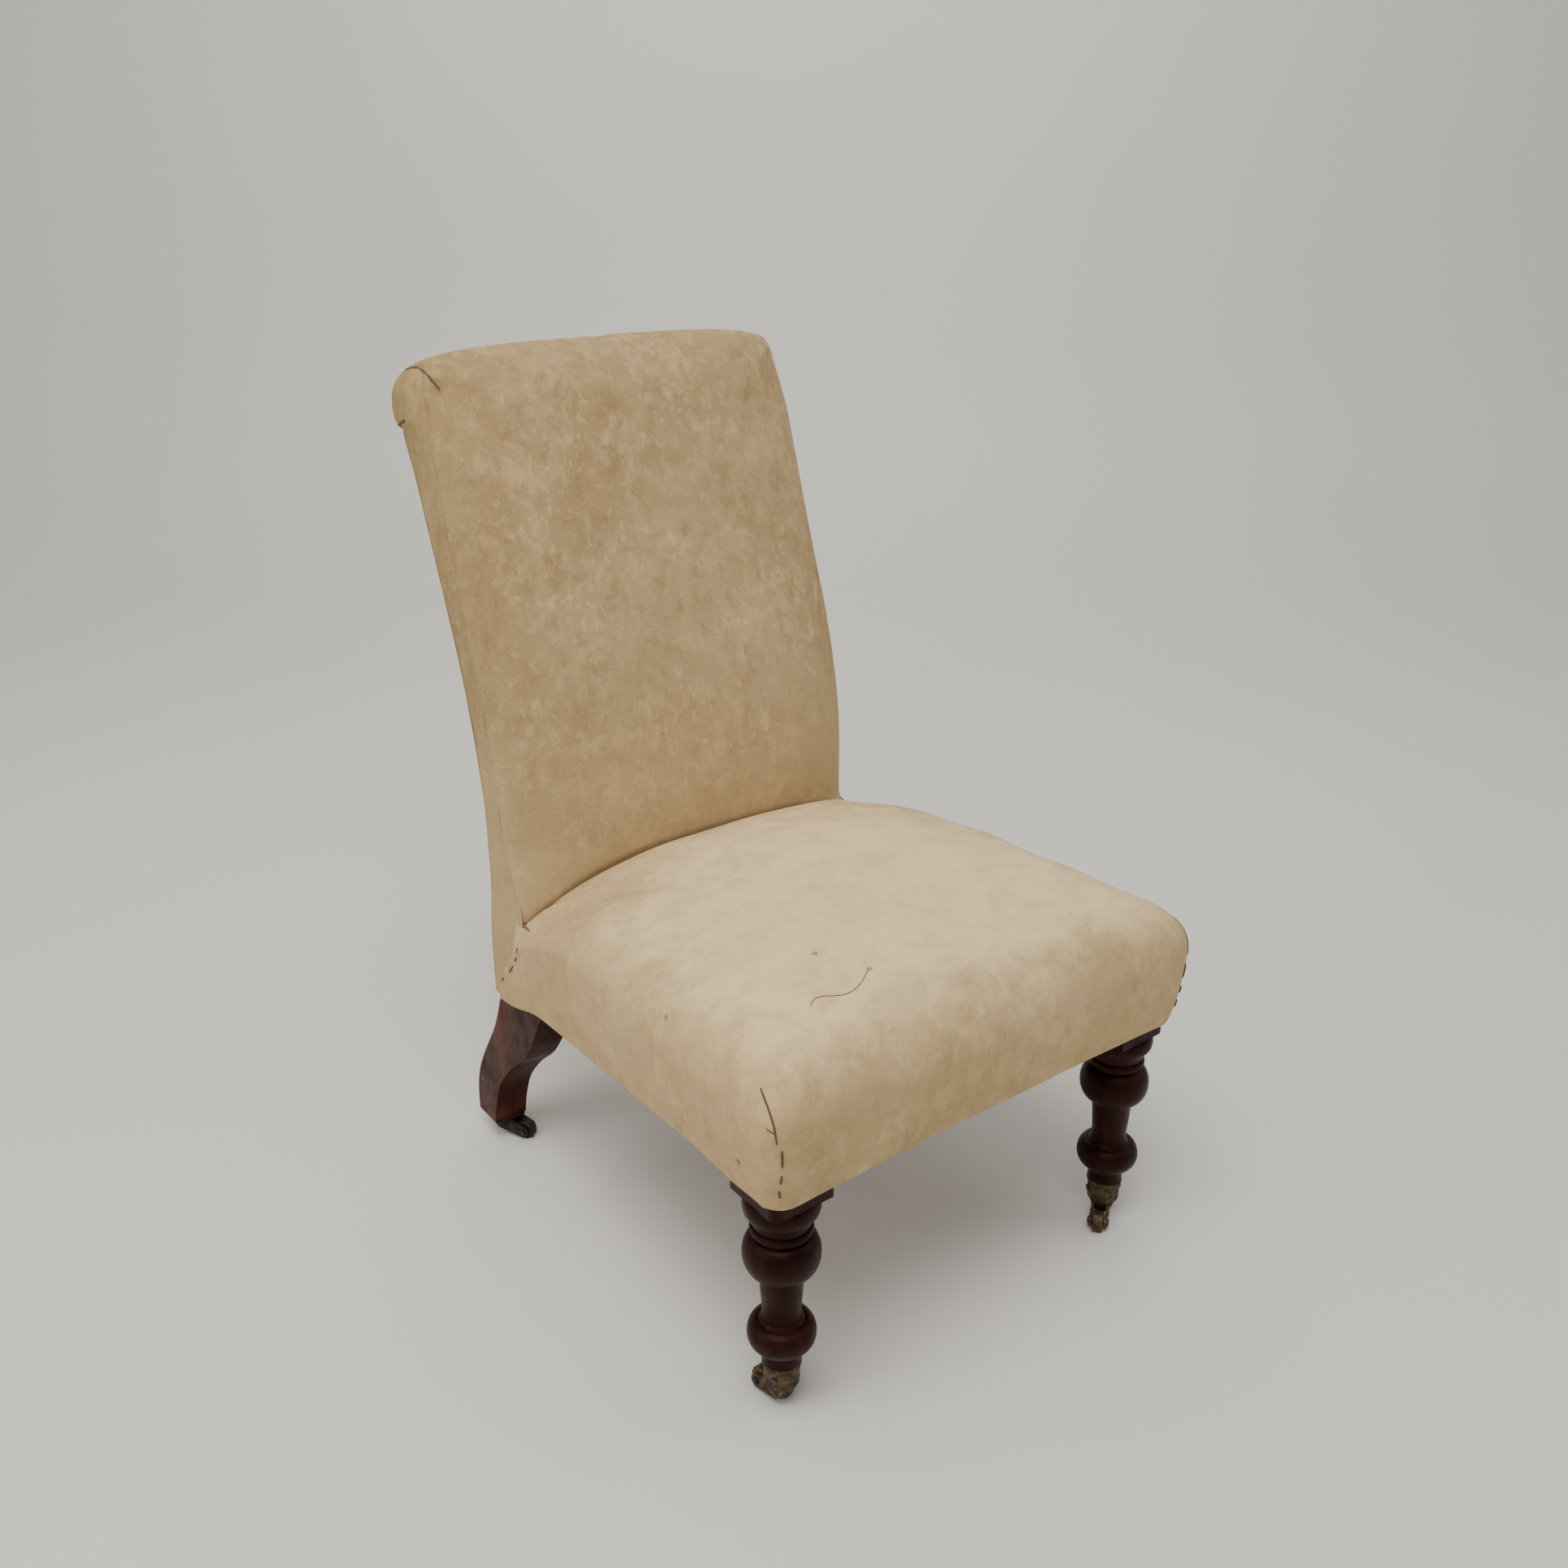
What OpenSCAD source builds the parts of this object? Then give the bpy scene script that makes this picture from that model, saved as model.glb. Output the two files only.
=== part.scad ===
// Slipper chair: a low upholstered side chair on turned front legs, swept back legs and casters.
// X runs across the chair, Y from front to back, Z up. The chair faces -Y and stands on Z = 0.
// Inside the modules Y is counted from the axes of the front legs; place() centres the chair.

/* [Seat frame] */
// Distance between the axes of the two front legs
leg_gap = 423; // [410:1:434]
// Distance from the front leg axes to the rear faces of the back uprights
frame_depth = 495; // [485:1:510]
// How much narrower the frame is behind than in front
rear_narrowing = 40; // [30:1:44]
// Height of the lower edge of the seat rails above the floor
rail_bottom = 243; // [238:1:250]
// Height of a seat rail
rail_h = 60; // [52:1:66]
// Thickness of a seat rail
rail_t = 25; // [20:1:28]
// How far the side rails dip where they meet the back legs
rail_dip = 22; // [18:1:30]
// Diameter of the frame dowels
dowel_d = 10; // [8:0.5:11]
// Length of a frame dowel
dowel_l = 48; // [36:1:54]

/* [Front legs] */
// Side of the square block at the head of a front leg
block_w = 62; // [56:1:64]
// How far the block hangs below the rails
block_drop = 13; // [8:1:16]
// Radius of the outer corner of the block
block_round = 9; // [6:1:20]
// Diameter of the upper bulb
upper_bulb_d = 69; // [62:1:74]
// Height of the middle of the upper bulb
upper_bulb_z = 170; // [165:1:174]
// Diameter of the lower bulb
lower_bulb_d = 62; // [54:1:66]
// Height of the middle of the lower bulb
lower_bulb_z = 83; // [80:1:86]
// Diameter of the leg between the bulbs
shaft_d = 38; // [32:1:44]
// Diameter of the wooden foot inside the caster cup
foot_d = 31; // [28:1:33]

/* [Back legs and uprights] */
// Thickness of a back leg across the chair
rear_leg_t = 38; // [34:1:42]
// Thickness of an upright across the chair
post_t = 30; // [26:1:34]
// Depth of an upright from front to back
post_d = 32; // [28:1:34]
// Depth of the head of a back leg, which the side rail butts against
leg_head_d = 95; // [90:1:100]
// Angle at which the back legs splay outwards
splay = 5.2; // [0:0.1:6]
// Angle of the raked part of the back
rake = 20; // [16:0.5:22]
// Height at which the back begins to bend
bend_z = 380; // [360:2:400]
// Height over which the back bends
bend_h = 200; // [170:2:220]
// Height at which the uprights end under the top rail
post_top = 770; // [740:2:790]
// Height of the middle of the lower back rail
back_rail_z = 356; // [345:1:366]
// Height of the lower back rail
back_rail_h = 40; // [30:1:50]

/* [Upholstery] */
// Thickness of the cover cloth
cloth_t = 2.5; // [1.5:0.1:3]
// How far the seat bulges beyond its lower edge
seat_bulge = 8.5; // [6:0.5:12]
// Height of the crown of the seat
seat_crown = 395; // [386:1:410]
// Height of the seat's shoulder
seat_shoulder = 325; // [318:1:332]
// Radius of the front corners of the seat in plan
seat_corner_r = 22; // [18:1:28]
// Half the width of the upholstered back
back_half = 221; // [219:0.5:226]
// How far the back's crown stands forward of its side seams
back_crown = 40; // [30:1:42]
// Radius of the wooden scroll under the top roll
scroll_r = 24; // [18:1:26]
// Depth of the top roll behind its middle
roll_r = 40; // [37:0.5:42]
// Width of a webbing strap
strap_w = 50; // [40:1:54]
// Thickness of a webbing strap
strap_t = 2; // [1.5:0.1:2.4]
// Distance between the seat springs across the chair
spring_gap_x = 100; // [90:1:104]
// Distance between the seat springs from front to back
spring_gap_y = 74; // [70:1:77]
// Radius of the end turns of a seat spring
spring_r = 33; // [28:1:33]
// Radius of the waist of a seat spring
spring_waist_r = 24; // [20:1:28]
// Turns of a seat spring
spring_turns = 4; // [3:1:5]
// Diameter of the spring wire
wire_d = 3.2; // [2.4:0.1:3.6]

/* [Casters] */
// Diameter of a caster wheel
wheel_d = 22; // [19:0.5:23]
// Width of a caster wheel
wheel_w = 12; // [9:0.5:13]
// Distance from the swivel axis to the axle of a front wheel
front_trail = 25; // [25:0.5:30]
// Distance from the swivel axis to the axle of a back wheel
rear_trail = 29; // [25:0.5:32]
// Diameter of the wheel's axle
axle_d = 4; // [3:0.1:5]
// Diameter of the swivel spindle
spindle_d = 8; // [6:0.1:9]
// Diameter of the horn's round head
horn_d = 26; // [24:0.5:27]
// Thickness of each cheek of the horn
cheek_t = 3; // [2:0.1:3.5]
// Thickness of the back caster plates and of the floor of a front caster cup
plate_t = 2.5; // [2:0.1:3]
// Height of the upper edge of a front caster cup
cup_top = 51; // [46:1:54]
// Thickness of the wall of a front caster cup
cup_wall = 1.8; // [1.4:0.1:2.4]
// Height of the underside of the back feet
rear_foot_z = 27; // [26.5:0.5:30]
// Direction in which the right front wheel trails
trail_angle_front_right = 94; // [0:1:359]
// Direction in which the left front wheel trails
trail_angle_front_left = 214; // [0:1:359]
// Direction in which the right back wheel trails
trail_angle_rear_right = 299; // [0:1:359]
// Direction in which the left back wheel trails
trail_angle_rear_left = 258; // [0:1:359]

/* [Fits] */
// Radial clearance of a turning pin in its bore
running_fit = 0.05; // [0.03:0.01:0.09]
// Radial clearance of a pin or screw that is fixed in its hole
fixed_fit = 0.03; // [0.02:0.01:0.1]
// Clearance between pieces that lie against each other
lie_gap = 0.3; // [0.2:0.05:0.4]

/* [Hidden] */
$fn = 48;

mahogany = "#4a2a22";
beech = "#c9a878";
fabric = "#c8b48e";
jute = "#a98d5f";
hair = "#7a6650";
brass = "#8a7a4a";
iron = "#4b4a48";

// Heights of the frame
rail_top = rail_bottom + rail_h;
block_bottom = rail_bottom - block_drop;

// Sizes of the casters
axle_z = wheel_d / 2;
plate_top = rear_foot_z;
plate_bottom = plate_top - plate_t;
horn_top = plate_bottom - lie_gap;
horn_head_t = 3;
horn_low = 6;
spindle_head_d = 12;
spindle_head_h = 2.5;
spindle_low = 10;
cheek_in = wheel_w / 2 + 0.4;
axle_head_d = 7;
axle_head_t = 1.6;
cup_screw_d = 3;
cup_screw_l = 9;
cup_screw_z = 38;
cup_screw_head_d = 6;
cup_floor_r = foot_d / 2 - 1.3;
cup_mouth_r = foot_d / 2 + 0.1;
plate_screw_d = 3;
plate_screw_l = 15;
plate_screw_head_d = 6;
plate_w = rear_leg_t - 3;
plate_l = 34;

// Half widths of the frame, from outer face to outer face
half_front = leg_gap / 2 + block_w / 2;
half_rear = half_front - rear_narrowing / 2;
post_outer = back_half - 5;
leg_inner = half_rear - rear_leg_t;
// The leg's head is as wide as both the leg under it and the upright on it
head_outer = max(half_rear, post_outer);
head_inner = min(leg_inner, post_outer - post_t);

// Front and rear faces of the frame
front_face = -block_w / 2;
leg_head_y = frame_depth - leg_head_d;
rear_rail_y = frame_depth - 43;
back_cloth_y = frame_depth + cloth_t + lie_gap;

// The back's curve: how far the back has moved rearwards at height z
bend_r = bend_h / sin(rake);
function back_shift(z) =
    z < bend_z ? 0 :
    z < bend_z + bend_h ? bend_r - sqrt(pow(bend_r, 2) - pow(z - bend_z, 2)) :
    bend_r * (1 - cos(rake)) + (z - bend_z - bend_h) * tan(rake);
function cloth_y(z) = back_cloth_y + back_shift(z);
function post_rear_y(z) = frame_depth + back_shift(z);
function post_front_y(z) = post_rear_y(z) - post_d;

// Half width of the frame at a distance y behind the front leg axes
function half_at(y) =
    half_front - rear_narrowing / 2 * (y - front_face) / (frame_depth - front_face);

// Lower edge of a side rail, which dips towards the back leg
dip_start = 256;
dip_run = 92;
function ease(t) = let (u = min(max(t, 0), 1)) u * u * (3 - 2 * u);
function rail_low(y) = rail_bottom - rail_dip * ease((y - dip_start) / dip_run);

// The roll at the top of the back
roll_y = post_rear_y(post_top) - 12;
roll_z = post_top + 42;

// The seat's outline at its widest
seat_side_pad = 7;
seat_front_y = front_face - seat_side_pad - cloth_t + 1 - seat_bulge;
seat_centre_y = 180;
seat_half_front = half_front + seat_side_pad + seat_bulge;
seat_half_rear = half_rear + seat_side_pad + seat_bulge;
seat_back_y = post_front_y(0) - 16;

// The chair is centred between its foremost and rearmost points
place_y = -(seat_front_y + roll_y + roll_r + 1) / 2;
module place() {
    translate([0, place_y, 0]) children();
}

// Mirrors its children for the left side, side = 1, and keeps them for the right, side = -1
module on_side(side) {
    mirror([side > 0 ? 1 : 0, 0, 0]) children();
}

// Stands a side-view outline, drawn as [y, z], up and gives it a thickness along X
module side_slab(x, thickness) {
    translate([x, 0, 0]) rotate([90, 0, 90]) linear_extrude(thickness) children();
}

// A point of a curve through four points, t runs from the second to the third
function curve_point(a, b, c, d, t) =
    0.5 * (2 * b + (c - a) * t + (2 * a - 5 * b + 4 * c - d) * t * t
        + (3 * b - a - 3 * c + d) * t * t * t);
function last(list) = list[len(list) - 1];
// A smooth curve through a list of points, with a number of steps between neighbours
function smooth(list, steps) = concat(
    [for (i = [0 : len(list) - 2], s = [0 : steps - 1])
        curve_point(list[max(i - 1, 0)], list[i], list[i + 1],
            list[min(i + 2, len(list) - 1)], s / steps)],
    [last(list)]);
function reversed(list) = [for (i = [len(list) - 1 : -1 : 0]) list[i]];

// Points of a round bead in a turned profile, from its lower to its upper edge
function bead(z, r, neck, half_h, steps) =
    [for (i = [0 : steps]) let (a = -90 + 180 * i / steps)
        [neck + (r - neck) * cos(a), z + half_h * sin(a)]];

// Triangles of a closed stack of rings, with a centre point below and above. Up to the ring
// named inner, the quads are cut along their other diagonal, as those of a layer outside them are.
function stack_faces(n, m, inner) = concat(
    [for (i = [0 : m - 2], j = [0 : n - 1]) let (k = (j + 1) % n)
        [(i + 1) * n + (i < inner ? j : k), i * n + k, i * n + j]],
    [for (i = [0 : m - 2], j = [0 : n - 1]) let (k = (j + 1) % n)
        [(i + 1) * n + j, (i + 1) * n + k, i * n + (i < inner ? k : j)]],
    [for (j = [0 : n - 1]) [j, (j + 1) % n, m * n]],
    [for (j = [0 : n - 1]) [(m - 1) * n + (j + 1) % n, (m - 1) * n + j, m * n + 1]]);
module ring_stack(rings, low, high, inner = 0) {
    points = concat([for (r = rings) each r], [low, high]);
    polyhedron(points, stack_faces(len(rings[0]), len(rings), inner), convexity = 6);
}

// A closed slab between two grids of points of the same size
function grid_side(n, m, flip) =
    [for (i = [0 : m - 2], j = [0 : n - 2]) let (a = i * n + j, o = flip ? n * m : 0)
        each flip ? [[o + a, o + a + n, o + a + 1], [o + a + 1, o + a + n, o + a + n + 1]]
            : [[a, a + 1, a + n], [a + 1, a + n + 1, a + n]]];
function grid_rim(edge, o) =
    [for (i = [0 : len(edge) - 2]) let (a = edge[i], b = edge[i + 1])
        each [[a, a + o, b], [b, a + o, b + o]]];
module grid_slab(outer, inner) {
    n = len(outer[0]);
    m = len(outer);
    o = n * m;
    bottom = [for (j = [0 : n - 1]) j];
    right = [for (i = [0 : m - 1]) i * n + n - 1];
    top = [for (j = [n - 1 : -1 : 0]) (m - 1) * n + j];
    left = [for (i = [m - 1 : -1 : 0]) i * n];
    polyhedron(
        concat([for (r = outer) each r], [for (r = inner) each r]),
        concat(grid_side(n, m, false), grid_side(n, m, true),
            grid_rim(bottom, o), grid_rim(right, o), grid_rim(top, o), grid_rim(left, o)),
        convexity = 6);
}

// Front leg: a turned leg below a square block
head_ring_z = block_bottom - 9;
neck_z = block_bottom - 31;
turned_profile = concat(
    [[0, plate_top + lie_gap], [foot_d / 2 - 1.5, plate_top + lie_gap], [foot_d / 2 - 0.3, cup_top]],
    [[foot_d / 2 + 2, cup_top + 1]],
    [[foot_d / 2 + 1.5, lower_bulb_z - 20], [foot_d / 2 + 4, lower_bulb_z - 18]],
    bead(lower_bulb_z, lower_bulb_d / 2, foot_d / 2 + 5, 14, 14),
    [[shaft_d / 2 - 1, lower_bulb_z + 17], [shaft_d / 2 - 1.5, lower_bulb_z + 28]],
    [[shaft_d / 2, lower_bulb_z + 48], [shaft_d / 2 + 1, upper_bulb_z - 24]],
    bead(upper_bulb_z, upper_bulb_d / 2, 21.5, 20, 16),
    [[25, upper_bulb_z + 21]],
    bead(neck_z - 3, 28, 25, 4, 6),
    [[26, neck_z + 3], [28, neck_z + 8]],
    bead(head_ring_z, block_w / 2 + 3, 31, 8, 8),
    [[26, block_bottom + 2], [0, block_bottom + 2]]);
module block_outline() {
    h = block_w / 2;
    r = block_round;
    union() {
        translate([-h + r, -h + r]) circle(r);
        translate([-h + r, -h]) square([block_w - r, block_w]);
        translate([-h, -h + r]) square([block_w, block_w - r]);
    }
}
module front_leg(side) {
    color(mahogany) place() on_side(side) translate([-leg_gap / 2, 0, 0]) difference() {
        union() {
            rotate_extrude($fn = 64) polygon(turned_profile);
            translate([0, 0, block_bottom]) linear_extrude(rail_top - block_bottom)
                block_outline($fn = 64);
        }
        translate([0, 0, plate_top]) cylinder(d = spindle_head_d + 2, h = spindle_head_h + 2);
        cup_screw_places() cylinder(d = cup_screw_d + 2 * fixed_fit, h = cup_screw_l + 1);
        translate([leg_gap / 2, 0, 0]) front_rail_dowel_holes();
        translate([leg_gap / 2, 0, 0]) side_rail_dowel_holes();
    }
}
module front_leg_right() { front_leg(-1); }
module front_leg_left() { front_leg(1); }

// Back leg: a sawn leg with its upright in one piece
// The leg's outline is given as offsets from the rear face of the uprights
leg_bend_z = rail_bottom - 28;
leg_back = [for (p = [[-5, 190], [7, 150], [29, 109], [43, 78], [46, 50], [41, 20]])
    [frame_depth + p[0], p[1]]];
leg_front = [for (p = [[5, 20], [3, 45], [0, 62], [-8, 84], [-30, 112], [-58, 138], [-75, 163]])
    [frame_depth + p[0], p[1]]];
leg_outline = concat(
    smooth(leg_front, 4), [[leg_head_y, leg_bend_z - 8], [leg_head_y, leg_bend_z + 1]],
    [[frame_depth - 4, leg_bend_z + 1]], smooth(leg_back, 4));
post_heights = [for (z = [rail_top + 12 : 26 : post_top - 10]) z];
post_outline = concat(
    [[leg_head_y, leg_bend_z], [leg_head_y, rail_top], [post_front_y(0), rail_top]],
    [for (z = post_heights) [post_front_y(z), z]], [[post_front_y(post_top), post_top]],
    [[post_rear_y(post_top), post_top]], [for (z = reversed(post_heights)) [post_rear_y(z), z]],
    [[frame_depth, rail_top], [frame_depth - 4, leg_bend_z]]);
front_table = concat([[rail_top, post_front_y(0)]],
    [for (z = post_heights) [z, post_front_y(z)]], [[post_top, post_front_y(post_top)]]);
rear_foot_y = frame_depth + 20;
rear_foot_x = half_rear - rear_leg_t / 2 + (leg_bend_z - rear_foot_z) * tan(splay);
module rear_leg(side) {
    color(mahogany) place() on_side(side) difference() {
        union() {
            intersection() {
                side_slab(-head_outer, head_outer - head_inner) polygon(post_outline);
                translate([-2 * half_front, 0, 0]) cube([4 * half_front, 2 * frame_depth, rail_top]);
            }
            side_slab(-post_outer, post_t) polygon(post_outline);
            difference() {
                translate([-half_rear, 0, leg_bend_z]) rotate([0, splay, 0])
                    translate([0, 0, -leg_bend_z]) side_slab(0, rear_leg_t) polygon(leg_outline);
                translate([-2 * half_front, 0, -1]) cube([4 * half_front, 2 * frame_depth, rear_foot_z + 1]);
            }
        }
        translate([-rear_foot_x, rear_foot_y, 0]) {
            cylinder(d = spindle_head_d + 2, h = plate_top + spindle_head_h + 2);
            plate_screw_places() cylinder(d = plate_screw_d + 2 * fixed_fit, h = plate_screw_l + 1);
        }
        side_rail_dowel_holes();
        rear_rail_dowel_holes();
        back_rail_dowel_holes();
        top_rail_dowel_holes();
    }
}
module rear_leg_right() { rear_leg(-1); }
module rear_leg_left() { rear_leg(1); }

// Seat rails, dowelled to the legs
front_rail_half = leg_gap / 2 - block_w / 2;
module front_seat_rail() {
    color(beech) place() difference() {
        translate([-front_rail_half, front_face, rail_bottom])
            cube([2 * front_rail_half, rail_t, rail_h]);
        for (side = [-1, 1]) on_side(side) {
            front_rail_dowel_holes();
            corner_screw_holes();
        }
        tack_holes();
        cover_tack_holes();
    }
}
module rear_seat_rail() {
    color(beech) place() difference() {
        translate([-head_inner, rear_rail_y, rail_bottom]) cube([2 * head_inner, rail_t, rail_h]);
        for (side = [-1, 1]) on_side(side) {
            rear_rail_dowel_holes();
            corner_screw_holes();
        }
        tack_holes();
    }
}
side_rail_start = block_w / 2;
rail_side_outline = concat(
    [[side_rail_start, rail_top], [side_rail_start, rail_low(side_rail_start)]],
    [for (y = [dip_start : 10 : leg_head_y - 1]) [y, rail_low(y)]],
    [[leg_head_y, rail_low(leg_head_y)], [leg_head_y, rail_top]]);
module side_rail(side) {
    color(beech) place() on_side(side) difference() {
        intersection() {
            side_slab(-half_front - 1, half_front) polygon(rail_side_outline);
            linear_extrude(2 * rail_top) polygon([
                [-half_at(side_rail_start), side_rail_start], [-half_at(leg_head_y), leg_head_y],
                [-half_at(leg_head_y) + rail_t, leg_head_y],
                [-half_at(side_rail_start) + rail_t, side_rail_start]]);
        }
        side_rail_dowel_holes();
        corner_screw_holes();
        tack_holes();
        cover_tack_holes();
    }
}
module side_seat_rail_right() { side_rail(-1); }
module side_seat_rail_left() { side_rail(1); }

// Dowels of the frame, two to a joint
dowel_rows = [rail_bottom + rail_h * 0.3, rail_bottom + rail_h * 0.7];
top_dowel_z = post_top - dowel_l / 2;
module front_rail_dowels(d, l) {
    for (z = dowel_rows)
        translate([-front_rail_half, front_face + rail_t / 2, z]) rotate([0, 90, 0])
            cylinder(d = d, h = l, center = true);
}
module side_rail_dowels(d, l) {
    for (z = dowel_rows, y = [side_rail_start, leg_head_y])
        translate([-half_at(y) + rail_t / 2 + 2, y, z]) rotate([90, 0, 0])
            cylinder(d = d, h = l, center = true);
}
module rear_rail_dowels(d, l) {
    for (z = dowel_rows)
        translate([-head_inner, rear_rail_y + rail_t / 2, z]) rotate([0, 90, 0])
            cylinder(d = d, h = l, center = true);
}
module back_rail_dowels(d, l) {
    translate([-post_outer + post_t, post_front_y(0) + post_d / 2, back_rail_z])
        rotate([0, 90, 0]) cylinder(d = d, h = l, center = true);
}
module top_rail_dowels(d, l) {
    translate([-post_outer + post_t / 2, post_rear_y(post_top) - post_d / 2, post_top])
        rotate([-rake, 0, 0]) cylinder(d = d, h = l, center = true);
}
dowel_hole_d = dowel_d + 2 * fixed_fit;
dowel_hole_l = dowel_l + 1;
module front_rail_dowel_holes() { front_rail_dowels(dowel_hole_d, dowel_hole_l); }
module side_rail_dowel_holes() { side_rail_dowels(dowel_hole_d, dowel_hole_l); }
module rear_rail_dowel_holes() { rear_rail_dowels(dowel_hole_d, dowel_hole_l); }
module back_rail_dowel_holes() { back_rail_dowels(dowel_hole_d, dowel_hole_l); }
module top_rail_dowel_holes() { top_rail_dowels(dowel_hole_d, dowel_hole_l); }
module frame_dowels() {
    color(beech) place() for (side = [-1, 1]) on_side(side) {
        front_rail_dowels(dowel_d, dowel_l);
        side_rail_dowels(dowel_d, dowel_l);
        rear_rail_dowels(dowel_d, dowel_l);
        back_rail_dowels(dowel_d, dowel_l);
        top_rail_dowels(dowel_d, dowel_l);
    }
}

// Corner blocks, screwed to the rails
corner_block_h = 40;
corner_block_z = rail_top - corner_block_h - 6;
corner_leg = 62;
corner_screw_d = 4;
corner_screw_l = 30;
corner_screw_head_d = 8;
front_corner = [-leg_gap / 2 + block_w / 2, front_face + rail_t];
front_corner_side_y = block_w / 2 + corner_leg;
rear_corner = [-head_inner, rear_rail_y];
rear_block_leg = min(corner_leg, rear_rail_y - leg_head_y);
module front_corner_block(side) {
    color(beech) place() on_side(side) difference() {
        translate([0, 0, corner_block_z]) linear_extrude(corner_block_h) polygon([
            front_corner, [front_corner[0] + corner_leg, front_corner[1]],
            [-half_at(front_corner_side_y) + rail_t, front_corner_side_y],
            [-half_at(side_rail_start) + rail_t, side_rail_start],
            [front_corner[0], side_rail_start]]);
        corner_screw_holes();
    }
}
module front_corner_block_right() { front_corner_block(-1); }
module front_corner_block_left() { front_corner_block(1); }
module rear_corner_block(side) {
    color(beech) place() on_side(side) difference() {
        translate([0, 0, corner_block_z]) linear_extrude(corner_block_h) polygon([
            rear_corner, [rear_corner[0], rear_corner[1] - rear_block_leg],
            [rear_corner[0] + corner_leg, rear_corner[1]]]);
        corner_screw_holes();
    }
}
module rear_corner_block_right() { rear_corner_block(-1); }
module rear_corner_block_left() { rear_corner_block(1); }
// Each screw is given by where it enters the rail and by its direction
corner_screw_z = corner_block_z + corner_block_h / 2;
corner_screw_seats = [
    [[front_corner[0] + 40, front_corner[1], corner_screw_z], 0],
    [[-half_at(front_corner_side_y) + rail_t, front_corner_side_y - 22, corner_screw_z], 90],
    [[rear_corner[0] + 40, rear_corner[1], corner_screw_z], 180]];
module corner_screw_places() {
    for (s = corner_screw_seats) translate(s[0]) rotate([0, 0, s[1] == 90 ? -90 : s[1]])
        rotate([90, 0, 0]) children();
}
module corner_screw(d, l, head_d) {
    translate([0, 0, -l * 0.5]) cylinder(d = d, h = l);
    translate([0, 0, -l * 0.5 - 60]) cylinder(d = head_d, h = 60);
}
module corner_screw_holes() {
    corner_screw_places()
        corner_screw(corner_screw_d + 2 * fixed_fit, corner_screw_l, corner_screw_head_d + 1);
}
module corner_block_screws() {
    color(iron) place() for (side = [-1, 1]) on_side(side) corner_screw_places() {
        translate([0, 0, -corner_screw_l / 2]) cylinder(d = corner_screw_d, h = corner_screw_l);
        translate([0, 0, -corner_screw_l / 2 - 3]) cylinder(d = corner_screw_head_d, h = 3);
    }
}

// Back rails
// The scroll stops short of the uprights' outer faces, where the roll rounds off
scroll_half = post_outer - 18;
rail_front = post_front_y(post_top);
rail_rear = post_rear_y(post_top);
scroll_seat_z = roll_z - scroll_r * 0.5;
module rail_under_scroll(top_front) {
    polygon([[rail_front, post_top], [rail_rear, post_top],
        [roll_y + scroll_r * 0.83, scroll_seat_z], [top_front, scroll_seat_z]]);
}
module back_top_rail() {
    color(beech) place() difference() {
        union() {
            side_slab(-post_outer, 2 * post_outer)
                rail_under_scroll(rail_front + (scroll_seat_z - post_top) * tan(rake) + 1.5);
            side_slab(-scroll_half, 2 * scroll_half) union() {
                translate([roll_y, roll_z]) circle(scroll_r, $fn = 48);
                rail_under_scroll(roll_y - scroll_r * 0.72);
            }
        }
        for (side = [-1, 1]) on_side(side) top_rail_dowel_holes();
    }
}
module back_lower_rail() {
    color(beech) place() difference() {
        translate([-post_outer + post_t, post_front_y(0) + 2, back_rail_z - back_rail_h / 2])
            cube([2 * (post_outer - post_t), post_d - 8, back_rail_h]);
        for (side = [-1, 1]) on_side(side) back_rail_dowel_holes();
    }
}

// Seat webbing, tacked under the rails, with the crosswise straps above
strap_gap = 0.2;
cross_strap_z = rail_bottom - strap_t;
long_strap_z = cross_strap_z - strap_t - strap_gap;
spring_rows = [for (i = [-1 : 1]) seat_centre_y - 28 + i * spring_gap_y];
spring_columns = [for (i = [-1 : 1]) i * spring_gap_x];
strap_inset = 4;
strap_fold = 20;
module seat_webbing_crosswise() {
    color(jute) place() difference() {
        for (y = spring_rows, side = [-1, 1]) on_side(side) {
            half = half_at(y + strap_w / 2) - strap_inset;
            translate([-half, y - strap_w / 2, cross_strap_z]) cube([half, strap_w, strap_t]);
            translate([-half, y - strap_w / 2, cross_strap_z - strap_t])
                cube([strap_fold, strap_w, strap_t]);
        }
        tack_holes();
    }
}
module seat_webbing_lengthwise() {
    low = front_face + strap_inset;
    high = rear_rail_y + rail_t - strap_inset;
    color(jute) place() difference() {
        for (x = spring_columns) {
            translate([x - strap_w / 2, low, long_strap_z]) cube([strap_w, high - low, strap_t]);
            for (y = [low, high - strap_fold]) translate([x - strap_w / 2, y, long_strap_z])
                cube([strap_w, strap_fold, rail_bottom - long_strap_z]);
        }
        tack_holes();
    }
}
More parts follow.
